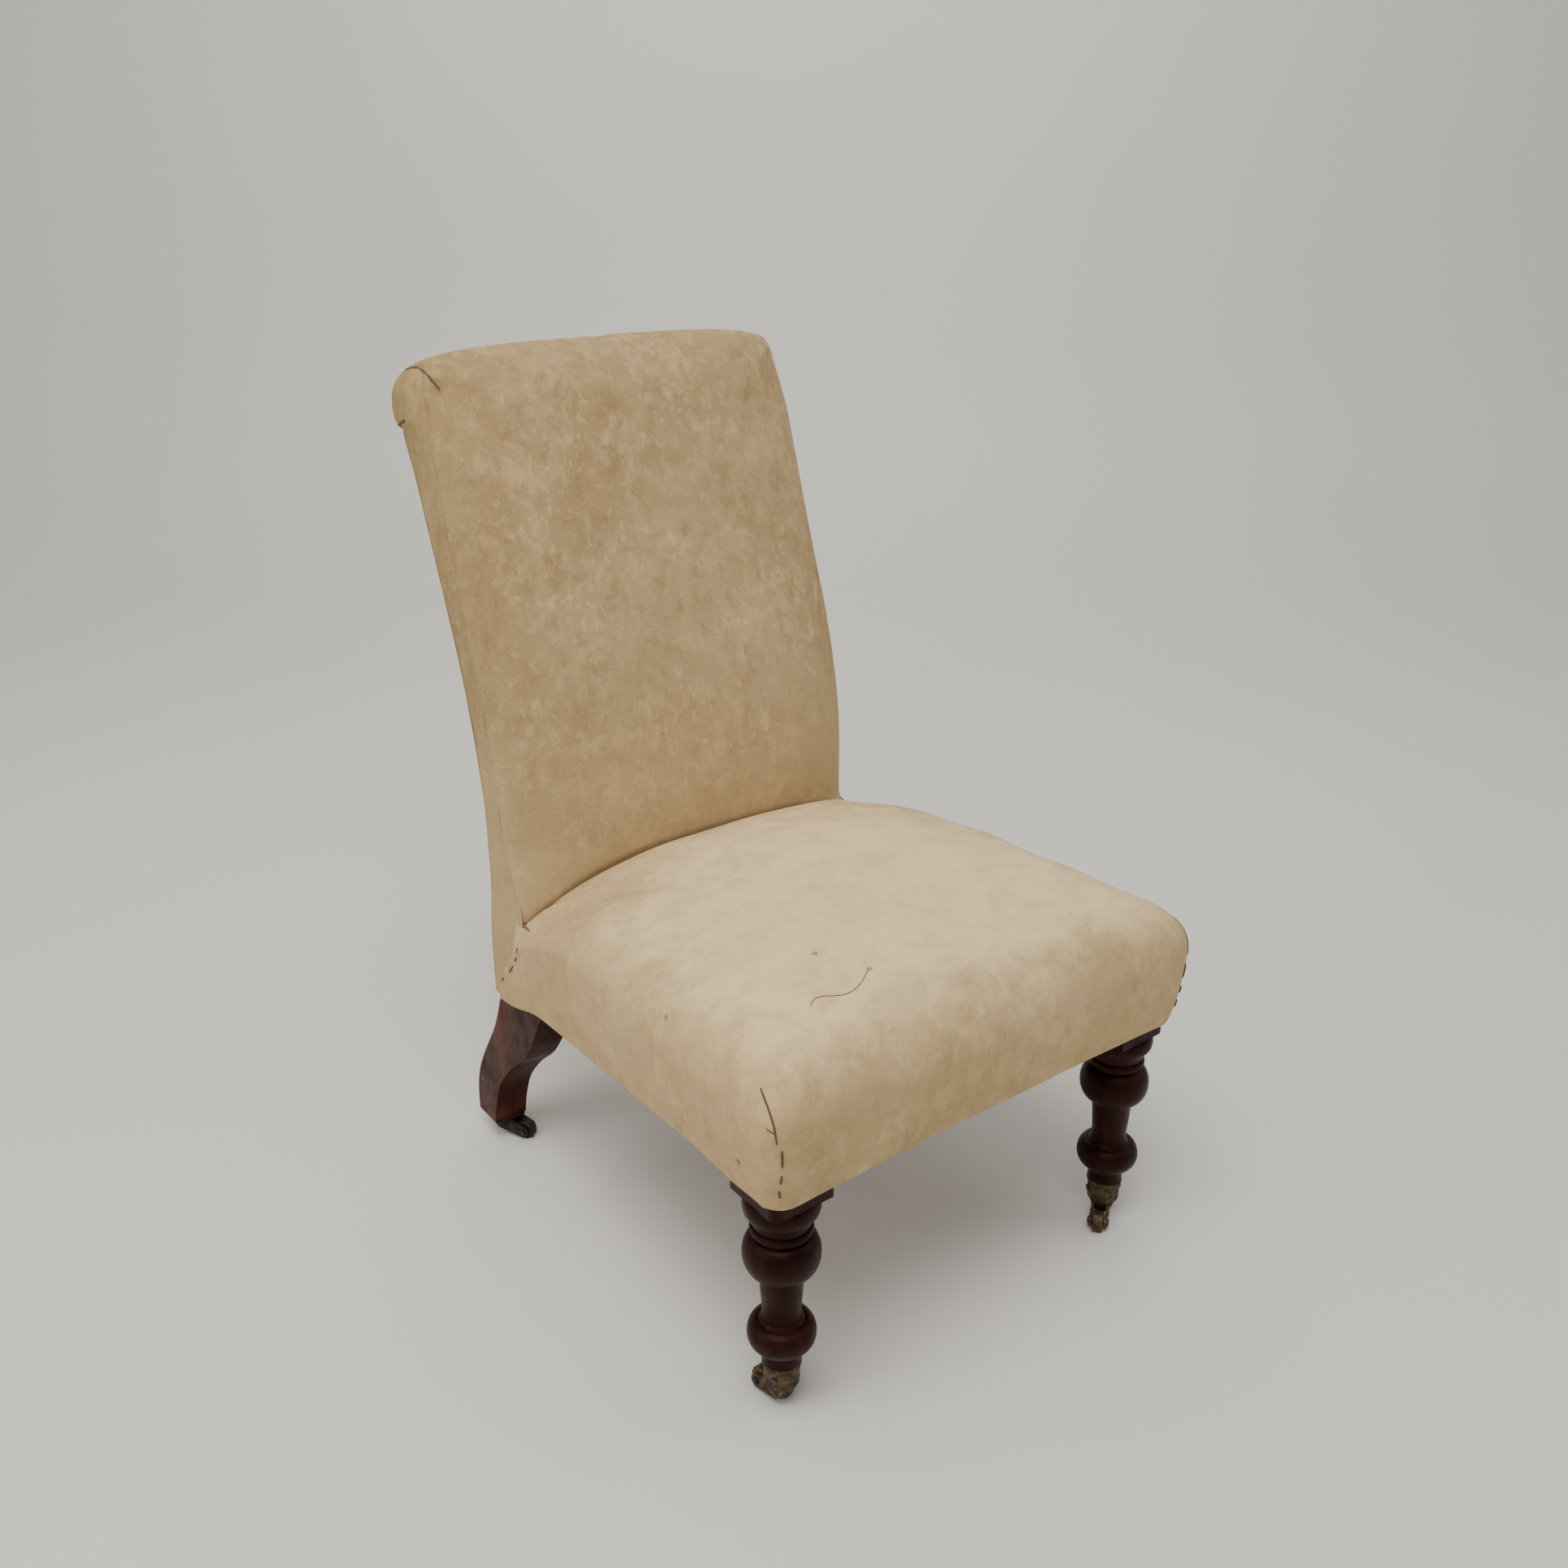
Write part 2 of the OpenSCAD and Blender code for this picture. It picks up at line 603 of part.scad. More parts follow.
// Tacks: three at each end of each strap
tack_d = 1.8;
tack_l = 13;
tack_head_d = 6;
tack_head_t = 1;
tack_spread = strap_w / 2 - 8;
tack_seat = [for (y = spring_rows, side = [-1, 1], k = [-1 : 1])
    [side * (half_at(y + tack_spread) - rail_t * 0.55), y + k * tack_spread,
        cross_strap_z - strap_t]];
long_tack_seat = [for (x = spring_columns, k = [-1 : 1],
        y = [front_face + rail_t * 0.55, rear_rail_y + rail_t * 0.45])
    [x + k * tack_spread, y, long_strap_z]];
module tack_holes() {
    for (p = concat(tack_seat, long_tack_seat))
        translate([p[0], p[1], p[2] - 1]) cylinder(d = tack_d + 2 * fixed_fit, h = tack_l + 2, $fn = 16);
}
module webbing_tacks() {
    color(iron) place() for (p = concat(tack_seat, long_tack_seat)) translate(p) {
        cylinder(d = tack_d, h = tack_l, $fn = 16);
        translate([0, 0, -tack_head_t]) cylinder(d = tack_head_d, h = tack_head_t, $fn = 16);
    }
}

// Seat springs: waisted coils that stand on the webbing
spring_low = rail_bottom + lie_gap + wire_d / 2;
spring_high = seat_crown - 45 - wire_d / 2;
rings_per_turn = 8;
wire_sides = 6;
spring_rings = spring_turns * rings_per_turn;
function spring_radius(t) =
    spring_waist_r + (spring_r - spring_waist_r) * pow(abs(2 * t - 1), 1.6);
function coil_point(t) = let (a = 360 * spring_turns * t, r = spring_radius(t))
    [r * cos(a), r * sin(a), spring_low + (spring_high - spring_low) * t];
spring_wire = [for (i = [0 : spring_rings]) let (
        t = i / spring_rings,
        a = 360 * spring_turns * t,
        c = coil_point(t))
    [for (k = [0 : wire_sides - 1]) let (b = -360 * k / wire_sides)
        c + wire_d / 2 * [cos(b) * cos(a), cos(b) * sin(a), sin(b)]]];
module seat_springs() {
    color(iron) place() for (x = spring_columns, y = spring_rows)
        translate([x, y, 0]) ring_stack(spring_wire, coil_point(0), coil_point(1));
}
// Least gap of a coil to itself, one turn apart
coil_gap = min([for (i = [0 : spring_rings - rings_per_turn])
    norm(coil_point(i / spring_rings) - coil_point((i + rings_per_turn) / spring_rings))]) - wire_d;
echo(least_gap_between_spring_turns = coil_gap);

// The seat's outline in plan, inset by e from its widest, as seen from above
function seat_half_at(y) = seat_half_front
    - (seat_half_front - seat_half_rear) * (y - seat_front_y) / (seat_back_y - seat_front_y);
// The face of the back's upholstery in plan, below the bend, which the seat meets
back_power = 3.5;
back_columns = 12;
function back_x(k, half) = let (a = -90 + 180 * k / back_columns)
    sign(sin(a)) * half * pow(abs(sin(a)), 2 / back_power);
back_seam_y = post_front_y(0) - 0.4;
function back_face_y(x) =
    back_seam_y - back_crown * sqrt(1 - pow(min(abs(x) / back_half, 1), back_power));
seat_rear_x = half_rear + 2.5;
function seat_right(e) = let (
        r = seat_corner_r - e,
        fy = seat_front_y + e,
        cx = seat_half_at(seat_front_y + seat_corner_r) - seat_corner_r,
        cy = seat_front_y + seat_corner_r,
        by = seat_back_y - e)
    concat(
        [for (k = [0.17, 0.5, 0.83]) [cx * k, fy]],
        [for (k = [0 : 3]) let (a = -80 + k * 25) [cx + r * cos(a), cy + r * sin(a)]],
        [for (k = [0 : 4]) let (y = cy + 12 + (by - 10 - cy - 12) * k / 4) [seat_half_at(y) - e, y]],
        [[seat_half_at(by) - 1 - e, by - 1], [seat_rear_x, by]],
        [for (k = [back_columns / 2 - 1 : -1 : 1]) let (bx = back_x(back_columns / 2 + k, back_half))
            [bx, min(back_face_y(bx) - lie_gap - e, by)]]);
function seat_loop(e) = let (right = seat_right(e)) concat(
    right, [[0, back_face_y(0) - lie_gap - e]], [for (p = reversed(right)) [-p[0], p[1]]]);
function at_rear(p) = p[1] > leg_head_y && abs(p[0]) < seat_rear_x + 0.1;
// Height of the hem, which arches along the front and falls towards the back legs
hem_arch = 7;
hem_start = 82;
hem_fall = 0.0825;
function hem_z(p) = at_rear(p) ? rear_hem_z :
    p[1] < seat_front_y + seat_corner_r + 2 ?
    rail_bottom + hem_arch * (1 - 0.5 * pow(p[0] / seat_half_front, 2)) :
    rail_bottom - hem_fall * max(p[1] - hem_start, 0) - max(p[1] - 400, 0) * 0.15;
// Height of the shoulder, which falls towards the rear corners and rises between them
rear_hem_z = rail_top + 3.2;
function shoulder_z(p) = let (
        r = pow(min(max((p[1] - 300) / 145, 0), 1), 2),
        u = min(abs(p[0]) / seat_half_rear, 1),
        z = seat_shoulder + r * (20 * (1 - u * u) - 45 * pow(u, 4)))
    at_rear(p) ? max(z, rear_hem_z + 1) : z;
function scaled(p, s) = [p[0] * s, seat_centre_y + (p[1] - seat_centre_y) * s];
dome_front = 5;
dome_rear = 2.3;
function dome_power(p) = dome_front - (dome_front - dome_rear) * ease((p[1] - 20) / 400);
// The dome runs out flatter into the two rear corners
function corner_share(p) = ease((abs(p[0]) - 110) / 90) * ease((p[1] - 330) / 90);
function dome_root(p) = 0.5 + 0.28 * corner_share(p);
function dome_z(p, s, e) = let (z = shoulder_z(p))
    z + (seat_crown - e - z) * pow(1 - pow(s, dome_power(p)), dome_root(p));
function wall_ring(t, e) = [for (p = seat_loop(e)) let (
        tuck = at_rear(p) || p[1] > seat_back_y - 12 ? 0 : seat_bulge * (1 - sin(90 * t)),
        q = tuck == 0 ? p : [p[0] - sign(p[0]) * tuck * min(1, abs(p[0]) / seat_half_rear * 1.1),
            p[1] + (p[1] < seat_front_y + seat_corner_r ? tuck : 0)])
    [q[0], q[1], hem_z(p) + (shoulder_z(p) - hem_z(p)) * t]];
function dome_ring(s, e) = [for (p = seat_loop(e)) let (q = scaled(p, s))
    [q[0], q[1], dome_z(p, s, e)]];
function flat_ring(s, z, e) = [for (p = seat_loop(e)) let (q = scaled(p, s)) [q[0], q[1], z]];
dome_steps = [1, 0.985, 0.95, 0.88, 0.77, 0.62, 0.42, 0.2];
wall_steps = [0, 0.3, 0.65];
seat_middle = [0, seat_centre_y];
function crown_point(e) = [seat_middle[0], seat_middle[1], seat_crown - e];

// Seat hessian, stretched over the springs and down to the rails
hessian_t = 1.2;
pocket_low = 0.78;
pocket_high = 0.62;
hessian_edge = 0.935;
pocket_z = spring_high + wire_d / 2 + lie_gap;
module seat_hessian() {
    z = rail_top + 0.2;
    color(jute) place() ring_stack([
        flat_ring(pocket_high, pocket_z, 0), flat_ring(pocket_low, z, 0),
        flat_ring(hessian_edge, z, 0), flat_ring(hessian_edge, z + hessian_t, 0),
        flat_ring(pocket_low + 0.006, z + hessian_t, 0),
        flat_ring(pocket_high + 0.006, pocket_z + hessian_t, 0)],
        [seat_middle[0], seat_middle[1], pocket_z],
        [seat_middle[0], seat_middle[1], pocket_z + hessian_t]);
}
// Seat stuffing, with a hollow under it for the springs. Where the shoulder falls below the
// rails it stops short, so that the cover alone goes down over them.
stuffing_edge = 0.985;
corner_drop = 3;
function stuffing_reach(p, z, e) = let (low = shoulder_z(p))
    low > z ? 1 :
    stuffing_edge * pow(1 - pow((z - low) / (seat_crown - e - low), 1 / dome_root(p)),
        1 / dome_power(p));
function stuffing_ring(s, base, e) = [for (p = seat_loop(e)) let (
        t = s * stuffing_reach(p, base + 2, e),
        q = scaled(p, t),
        drop = t < s ? corner_drop : 2 * corner_share(p))
    [q[0], q[1], max(dome_z(p, t, e) - drop, base + 1)]];
function stuffing_base(base, e) = [for (p = stuffing_ring(stuffing_edge, base, e)) [p[0], p[1], base]];
module seat_stuffing() {
    e = cloth_t + lie_gap;
    z = rail_top + 0.2 + hessian_t + lie_gap;
    color(hair) place() ring_stack(concat(
        [flat_ring(pocket_high + 0.014, pocket_z + hessian_t + lie_gap, e),
            flat_ring(pocket_low + 0.02, z, e), stuffing_base(z, e)],
        [for (s = dome_steps) stuffing_ring(s, z, e)]),
        [seat_middle[0], seat_middle[1], pocket_z + hessian_t + lie_gap], crown_point(e), 2);
}
// Seat cover: one cloth over the top and down all four sides
module seat_cover() {
    color(fabric) place() ring_stack(concat(
        [for (s = reversed(dome_steps)) dome_ring(s, cloth_t)],
        [for (t = reversed(wall_steps)) wall_ring(t, cloth_t)],
        [for (t = wall_steps) wall_ring(t, 0)],
        [for (s = dome_steps) dome_ring(s, 0)]),
        crown_point(cloth_t), crown_point(0), len(dome_steps) + len(wall_steps) - 1);
}
// Cover tacks, in the outer faces of the rails behind the hem
cover_tack_z = rail_bottom + 8;
cover_tack_l = 10;
front_tack_x = [for (i = [-3 : 3]) i * 50];
side_tack_y = [for (i = [0 : 6]) 50 + i * 45];
rail_slant = atan(rear_narrowing / 2 / (frame_depth - front_face));
module cover_tack() {
    rotate([90, 0, 0]) {
        translate([0, 0, -cover_tack_l]) cylinder(d = tack_d, h = cover_tack_l, $fn = 16);
        cylinder(d = 5, h = 0.8, $fn = 16);
    }
}
module cover_tack_places() {
    for (x = front_tack_x) translate([x, front_face, cover_tack_z]) children();
    for (side = [-1, 1], y = side_tack_y) on_side(side)
        translate([-half_at(y), y, cover_tack_z]) rotate([0, 0, -90 - rail_slant]) children();
}
module cover_tack_holes() {
    cover_tack_places() rotate([90, 0, 0]) translate([0, 0, -cover_tack_l - 0.5])
        cylinder(d = tack_d + 2 * fixed_fit, h = cover_tack_l + 1, $fn = 16);
}
module cover_tacks() {
    color(iron) place() cover_tack_places() cover_tack();
}

// Back webbing on the fronts of the uprights and rails
web_low = rail_top + 6;
web_high = post_top - 8;
back_strap_x = [-110, 0, 110];
back_strap_z = [450, 540, 630, 715];
function front_layer(z, off) = lookup(z, front_table) - off;
function layer_heights(a, b, step) = concat([for (z = [a : step : b - 1]) z], [b]);
// A side-view strip that lies in front of the uprights, from height a to b
module layer_strip(a, b, off, thickness) {
    heights = concat([a], [for (z = post_heights) if (z > a && z < b) z], [b]);
    polygon(concat([for (z = heights) [front_layer(z, off + thickness), z]],
        [for (z = reversed(heights)) [front_layer(z, off), z]]));
}
module back_webbing_crosswise() {
    color(jute) place() for (z = back_strap_z)
        side_slab(-post_outer + 2, 2 * post_outer - 4)
            layer_strip(z - strap_w / 2, z + strap_w / 2, 0, strap_t);
}
module back_webbing_upright() {
    color(jute) place() for (x = back_strap_x)
        side_slab(x - strap_w / 2, strap_w) layer_strip(back_rail_z - 15, web_high, strap_t + 0.2, strap_t);
}
hessian_off = 2 * strap_t + 0.4;
module back_hessian() {
    color(jute) place() side_slab(-post_outer + 2, 2 * post_outer - 4)
        layer_strip(web_low, web_high, hessian_off, 1);
}

outside_top = post_top + 12;

// The back's surface runs up the front and over the roll. Each step of the path has a seam
// point at the sides and a middle point, and the cloth domes from the one to the other.
seam_off = 0.4 + hessian_off + 1 - strap_t;
path_low = rail_top + 5;
path_high = post_top - 4;
front_steps = 12;
roll_steps = 12;
roll_front_seam = 10;
roll_front_middle = 51;
roll_up_seam = 36;
roll_up_middle = 46;
roll_down = 36;
function front_z(i) = path_low + (path_high - path_low) * i / front_steps;
function seam_y(z) = post_front_y(z) - 0.4;
function roll_point(a, front, up, e) =
    [roll_y - (cos(a) > 0 ? front - e : roll_r + (up > 40 ? 1 : 0) - e) * cos(a),
        roll_z + ((sin(a) > 0 ? up : roll_down) - e) * sin(a)];
function roll_end(e) = [cloth_y(outside_top) + 0.6, outside_top + 2 + e];
function seam_path(e) = concat(
    [for (i = [0 : front_steps]) [seam_y(front_z(i)) + e, front_z(i)]],
    [for (i = [0 : roll_steps]) roll_point(-35 + 260 * i / roll_steps, roll_front_seam, roll_up_seam, e)],
    [roll_end(e)]);
function middle_path(e) = concat(
    [for (i = [0 : front_steps]) [seam_y(front_z(i)) - back_crown + e, front_z(i)]],
    [for (i = [0 : roll_steps])
        roll_point(-10 + 235 * i / roll_steps, roll_front_middle, roll_up_middle, e)],
    [roll_end(e)]);
function back_row(seam, middle, half) = [for (k = [0 : back_columns]) let (
        c = cos(-90 + 180 * k / back_columns),
        p = seam + (middle - seam) * c)
    [back_x(k, half), p[0], p[1]]];
function back_surface(e) = let (s = seam_path(0), m = middle_path(e), end = len(m) - 1)
    [for (i = [0 : end]) back_row(i == end ? m[i] : s[i], m[i], back_half - e)];
function rows(grid, a, b) = [for (i = [a : b]) grid[i]];

module inside_back_cover() {
    color(fabric) place() grid_slab(back_surface(0), back_surface(cloth_t));
}
// Back stuffing between the hessian and the cover
stuffing_edge_off = hessian_off + 1 + 0.9;
stuffing_rear_off = hessian_off + 1 + 0.6;
// A row of the stuffing, cut where the cover's side comes back to the hessian
function trimmed(row) = let (
        a = row[0],
        b = row[1],
        y = front_layer(a[2], stuffing_edge_off),
        x = a[0] + (b[0] - a[0]) * (a[1] - y) / (a[1] - b[1]))
    concat([[x, y, a[2]]], [for (k = [1 : len(row) - 2]) row[k]], [[-x, y, a[2]]]);
module back_stuffing() {
    front = [for (r = rows(back_surface(cloth_t + lie_gap), 0, front_steps)) trimmed(r)];
    color(hair) place() grid_slab(front,
        [for (r = front) [for (p = r) [p[0], front_layer(p[2], stuffing_rear_off), p[2]]]]);
}
// Top roll stuffing, wrapped round the wooden scroll
roll_wrap = 10;
module top_roll_stuffing() {
    e = cloth_t + lie_gap;
    grid = back_surface(e);
    outer = rows(grid, front_steps + 1, front_steps + 1 + roll_wrap);
    hollow = scroll_r + lie_gap + 0.3;
    front = concat([roll_front_seam - 3, roll_front_seam + 4],
        [for (k = [2 : back_columns - 2]) hollow], [roll_front_seam + 4, roll_front_seam - 3]);
    inner = [for (i = [0 : roll_wrap]) let (a = -36 + 236 * i / roll_wrap)
        [for (k = [0 : back_columns]) [back_x(k, back_half - e),
            roll_y - (cos(a) > 0 ? front[k] : hollow) * cos(a), roll_z + hollow * sin(a)]]];
    color(hair) place() grid_slab(outer, inner);
}

// Outside back: a flat cloth down the rear, notched between the legs. Low down, the cloth
// beside it clears the legs, which lean outwards there.
outside_low = leg_bend_z - 18;
flap_x = half_rear + (leg_bend_z - outside_low) * tan(splay) + lie_gap + cloth_t;
module outside_back_cover() {
    heights = concat([outside_low, leg_bend_z], layer_heights(rail_top, outside_top, 24));
    lower_half = flap_x;
    color(fabric) place() intersection() {
        side_slab(-half_front, 2 * half_front) polygon(concat(
            [for (z = heights) [cloth_y(z) - cloth_t, z]],
            [for (z = reversed(heights)) [cloth_y(z), z]]));
        translate([0, 2 * frame_depth, 0]) rotate([90, 0, 0]) linear_extrude(2 * frame_depth)
            polygon([
                [-back_half, outside_top], [back_half, outside_top],
                [back_half, rail_top + 3], [lower_half, rail_top + 3],
                [lower_half, outside_low], [leg_inner, outside_low],
                [leg_inner - 8, rail_bottom - 3], [-leg_inner + 8, rail_bottom - 3],
                [-leg_inner, outside_low], [-lower_half, outside_low],
                [-lower_half, rail_top + 3], [-back_half, rail_top + 3]]);
    }
}
// Facing: the cloth on the side of an upright, with the round end of the roll
facing_seam = seam_path(0.6);
facing_path = concat([for (i = [0 : len(facing_seam) - 2]) facing_seam[i]],
    [[cloth_y(outside_top) + 0.2, roll_end(cloth_t)[1] + 0.4]]);
facing_x = back_half - cloth_t;
module back_facing(side) {
    heights = layer_heights(rail_top + 5.5, outside_top, 24);
    lower_y = seat_back_y + 3;
    ledge_y = seam_y(rail_top) + 0.6;
    rear_low = cloth_y(0) - cloth_t - lie_gap;
    ledge_out = max(flap_x, back_half);
    ledge_in = min(flap_x, back_half) - cloth_t;
    color(fabric) place() on_side(side) union() {
        side_slab(-facing_x - cloth_t + 0.2, cloth_t - 0.4) polygon(concat(
            facing_path, [for (z = reversed(heights)) [cloth_y(z) - cloth_t - lie_gap, z]]));
        side_slab(-flap_x, cloth_t) polygon([
            [lower_y, rail_top + 6], [lower_y, outside_low + 8],
            [rear_low, outside_low], [rear_low, rail_top + 6]]);
        side_slab(-ledge_out, ledge_out - ledge_in) polygon([
            [ledge_y, rail_top + 3.5], [rear_low, rail_top + 3.5],
            [rear_low, rail_top + 6], [ledge_y, rail_top + 6]]);
    }
}
module back_facing_right() { back_facing(-1); }
module back_facing_left() { back_facing(1); }

// Casters. Each is drawn with its swivel axis on Z and its wheel trailing along X.
module cup_screw_places() {
    for (a = [210, 30]) rotate([0, 0, a])
        translate([cup_mouth_r - cup_screw_l + 0.8, 0, cup_screw_z]) rotate([0, 90, 0]) children();
}
module plate_screw_places() {
    for (x = [-1, 1], y = [-1, 1])
        translate([x * (plate_w / 2 - 5), y * (plate_l / 2 - 5), plate_bottom]) children();
}
module on_foot(rear, side) {
    place() on_side(side) translate(rear ? [-rear_foot_x, rear_foot_y, 0] : [-leg_gap / 2, 0, 0])
        children();
}
module caster_at(rear, side, angle) {
    x = rear ? rear_foot_x : leg_gap / 2;
    place() translate([side * x, rear ? rear_foot_y : 0, 0]) rotate([0, 0, angle]) children();
}
module axle_place(rear) {
    translate([horn_trail(rear), 0, axle_z]) rotate([90, 0, 0]) children();
}
module front_caster_cup(side) {
    color(brass) on_foot(false, side) difference() {
        rotate_extrude($fn = 64) polygon([
            [0, plate_bottom], [horn_d / 2 + 0.5, plate_bottom],
            [cup_floor_r + cup_wall, plate_bottom + 2.5],
            [cup_mouth_r + cup_wall - 0.6, cup_top - 3.5], [cup_mouth_r + cup_wall + 0.6, cup_top - 2.6],
            [cup_mouth_r + cup_wall + 0.6, cup_top - 0.8], [cup_mouth_r + cup_wall, cup_top],
            [cup_mouth_r, cup_top], [cup_floor_r, plate_top], [0, plate_top]]);
        translate([0, 0, plate_bottom - 1]) cylinder(d = spindle_d + 2 * running_fit, h = plate_t + 2);
        cup_screw_places() {
            cylinder(d = cup_screw_d + 2 * fixed_fit, h = 2 * cup_screw_l);
            translate([0, 0, cup_screw_l]) cylinder(d = cup_screw_head_d + 2 * fixed_fit, h = 9);
        }
    }
}
module front_caster_cup_right() { front_caster_cup(-1); }
module front_caster_cup_left() { front_caster_cup(1); }
module rear_caster_plate(side) {
    color(iron) on_foot(true, side) difference() {
        translate([-plate_w / 2, -plate_l / 2, plate_bottom]) cube([plate_w, plate_l, plate_t]);
        translate([0, 0, plate_bottom - 1]) cylinder(d = spindle_d + 2 * running_fit, h = plate_t + 2);
        plate_screw_places() {
            translate([0, 0, -1]) cylinder(d = plate_screw_d + 2 * fixed_fit, h = plate_t + 2);
            translate([0, 0, -1]) cylinder(d = plate_screw_head_d + 2 * fixed_fit, h = 2.2);
        }
    }
}
module rear_caster_plate_right() { rear_caster_plate(-1); }
module rear_caster_plate_left() { rear_caster_plate(1); }
module caster_screws() {
    color(iron) for (side = [-1, 1]) {
        on_foot(false, side) cup_screw_places() {
            cylinder(d = cup_screw_d, h = cup_screw_l);
            translate([0, 0, cup_screw_l]) cylinder(d = cup_screw_head_d, h = 1.6);
        }
        on_foot(true, side) plate_screw_places() {
            cylinder(d = plate_screw_d, h = plate_screw_l);
            translate([0, 0, 0]) cylinder(d = plate_screw_head_d, h = 1.2);
        }
    }
}
module caster_spindle(rear, side, angle) {
    color(iron) caster_at(rear, side, angle) {
        translate([0, 0, spindle_low]) cylinder(d = spindle_d, h = plate_top + lie_gap - spindle_low + 1);
        translate([0, 0, plate_top + lie_gap / 3]) cylinder(d = spindle_head_d, h = spindle_head_h);
    }
}
function horn_trail(rear) = rear ? rear_trail : front_trail;
function horn_cheek_outline(trail) = concat(
    [[-horn_d / 2 + 3, horn_top], [horn_d / 2 - 2, horn_top]],
    [for (a = [70 : -15 : -95]) [trail + 6.5 * cos(a), axle_z + 6.5 * sin(a)]],
    [[trail * 0.35, axle_z - 3.5], [-3, axle_z - 1], [-horn_d / 2 + 5, axle_z + 5]]);
module caster_horn(rear, side, angle, metal) {
    color(metal) caster_at(rear, side, angle) difference() {
        union() {
            translate([0, 0, horn_top - horn_head_t]) cylinder(d = horn_d, h = horn_head_t);
            rotate_extrude($fn = 48) polygon(concat([[0, horn_top - horn_head_t + 0.1]],
                [for (a = [0 : 10 : 90]) let (h = horn_top - horn_head_t - horn_low)
                    [(horn_d / 2 - 1) * cos(a), horn_top - horn_head_t - h * sin(a)]]));
            for (s = [-1, 1]) translate([0, s > 0 ? cheek_in + cheek_t : -cheek_in, 0])
                rotate([90, 0, 0]) linear_extrude(cheek_t)
                    polygon(horn_cheek_outline(horn_trail(rear)));
        }
        translate([0, 0, spindle_low - 0.2]) cylinder(d = spindle_d + 2 * fixed_fit, h = 30);
        translate([horn_trail(rear), 0, axle_z]) rotate([90, 0, 0])
            cylinder(d = axle_d + 2 * fixed_fit, h = 2 * horn_d, center = true);
    }
}
module caster_axle(rear, side, angle) {
    reach = cheek_in + cheek_t;
    color(iron) caster_at(rear, side, angle) axle_place(rear) {
        cylinder(d = axle_d, h = 2 * reach + 1, center = true);
        for (s = [-1, 1]) translate([0, 0, s * (reach + axle_head_t / 2 + 0.05)])
            cylinder(d = axle_head_d, h = axle_head_t, center = true);
    }
}
module caster_wheel(rear, side, angle, metal) {
    r = wheel_d / 2;
    h = wheel_w / 2;
    color(metal) caster_at(rear, side, angle) axle_place(rear)
        rotate_extrude($fn = 64) polygon([
            [axle_d / 2 + running_fit, -h], [axle_d / 2 + 2.4, -h], [axle_d / 2 + 2.9, -h + 1],
            [r - 2.6, -h + 1], [r - 2, -h + 0.4], [r - 0.8, -h + 0.8], [r, -h + 2.2],
            [r, h - 2.2], [r - 0.8, h - 0.8], [r - 2, h - 0.4], [r - 2.6, h - 1],
            [axle_d / 2 + 2.9, h - 1], [axle_d / 2 + 2.4, h], [axle_d / 2 + running_fit, h]]);
}
module caster_spindle_front_right() { caster_spindle(false, -1, trail_angle_front_right); }
module caster_spindle_front_left() { caster_spindle(false, 1, trail_angle_front_left); }
module caster_spindle_rear_right() { caster_spindle(true, -1, trail_angle_rear_right); }
module caster_spindle_rear_left() { caster_spindle(true, 1, trail_angle_rear_left); }
module caster_horn_front_right() { caster_horn(false, -1, trail_angle_front_right, brass); }
module caster_horn_front_left() { caster_horn(false, 1, trail_angle_front_left, brass); }
module caster_horn_rear_right() { caster_horn(true, -1, trail_angle_rear_right, iron); }
module caster_horn_rear_left() { caster_horn(true, 1, trail_angle_rear_left, iron); }
module caster_axle_front_right() { caster_axle(false, -1, trail_angle_front_right); }
module caster_axle_front_left() { caster_axle(false, 1, trail_angle_front_left); }
module caster_axle_rear_right() { caster_axle(true, -1, trail_angle_rear_right); }
module caster_axle_rear_left() { caster_axle(true, 1, trail_angle_rear_left); }
module caster_wheel_front_right() { caster_wheel(false, -1, trail_angle_front_right, brass); }
module caster_wheel_front_left() { caster_wheel(false, 1, trail_angle_front_left, brass); }
module caster_wheel_rear_right() { caster_wheel(true, -1, trail_angle_rear_right, iron); }
module caster_wheel_rear_left() { caster_wheel(true, 1, trail_angle_rear_left, iron); }

front_leg_right();
front_leg_left();
rear_leg_right();
rear_leg_left();
front_seat_rail();
rear_seat_rail();
side_seat_rail_right();
side_seat_rail_left();
front_corner_block_right();
front_corner_block_left();
rear_corner_block_right();
rear_corner_block_left();
back_top_rail();
back_lower_rail();
frame_dowels();
corner_block_screws();
seat_webbing_crosswise();
seat_webbing_lengthwise();
webbing_tacks();
seat_springs();
seat_hessian();
seat_stuffing();
seat_cover();
cover_tacks();
back_webbing_upright();
back_webbing_crosswise();
back_hessian();
back_stuffing();
top_roll_stuffing();
inside_back_cover();
outside_back_cover();
back_facing_right();
back_facing_left();
front_caster_cup_right();
front_caster_cup_left();
rear_caster_plate_right();
rear_caster_plate_left();
caster_screws();
caster_spindle_front_right();
caster_spindle_front_left();
caster_spindle_rear_right();
caster_spindle_rear_left();
caster_horn_front_right();
caster_horn_front_left();
caster_horn_rear_right();
caster_horn_rear_left();
caster_axle_front_right();
caster_axle_front_left();
caster_axle_rear_right();
caster_axle_rear_left();
caster_wheel_front_right();
caster_wheel_front_left();
caster_wheel_rear_right();
caster_wheel_rear_left();
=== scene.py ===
import math
import time

import bpy
import numpy as np
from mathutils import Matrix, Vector, noise
from mathutils.bvhtree import BVHTree


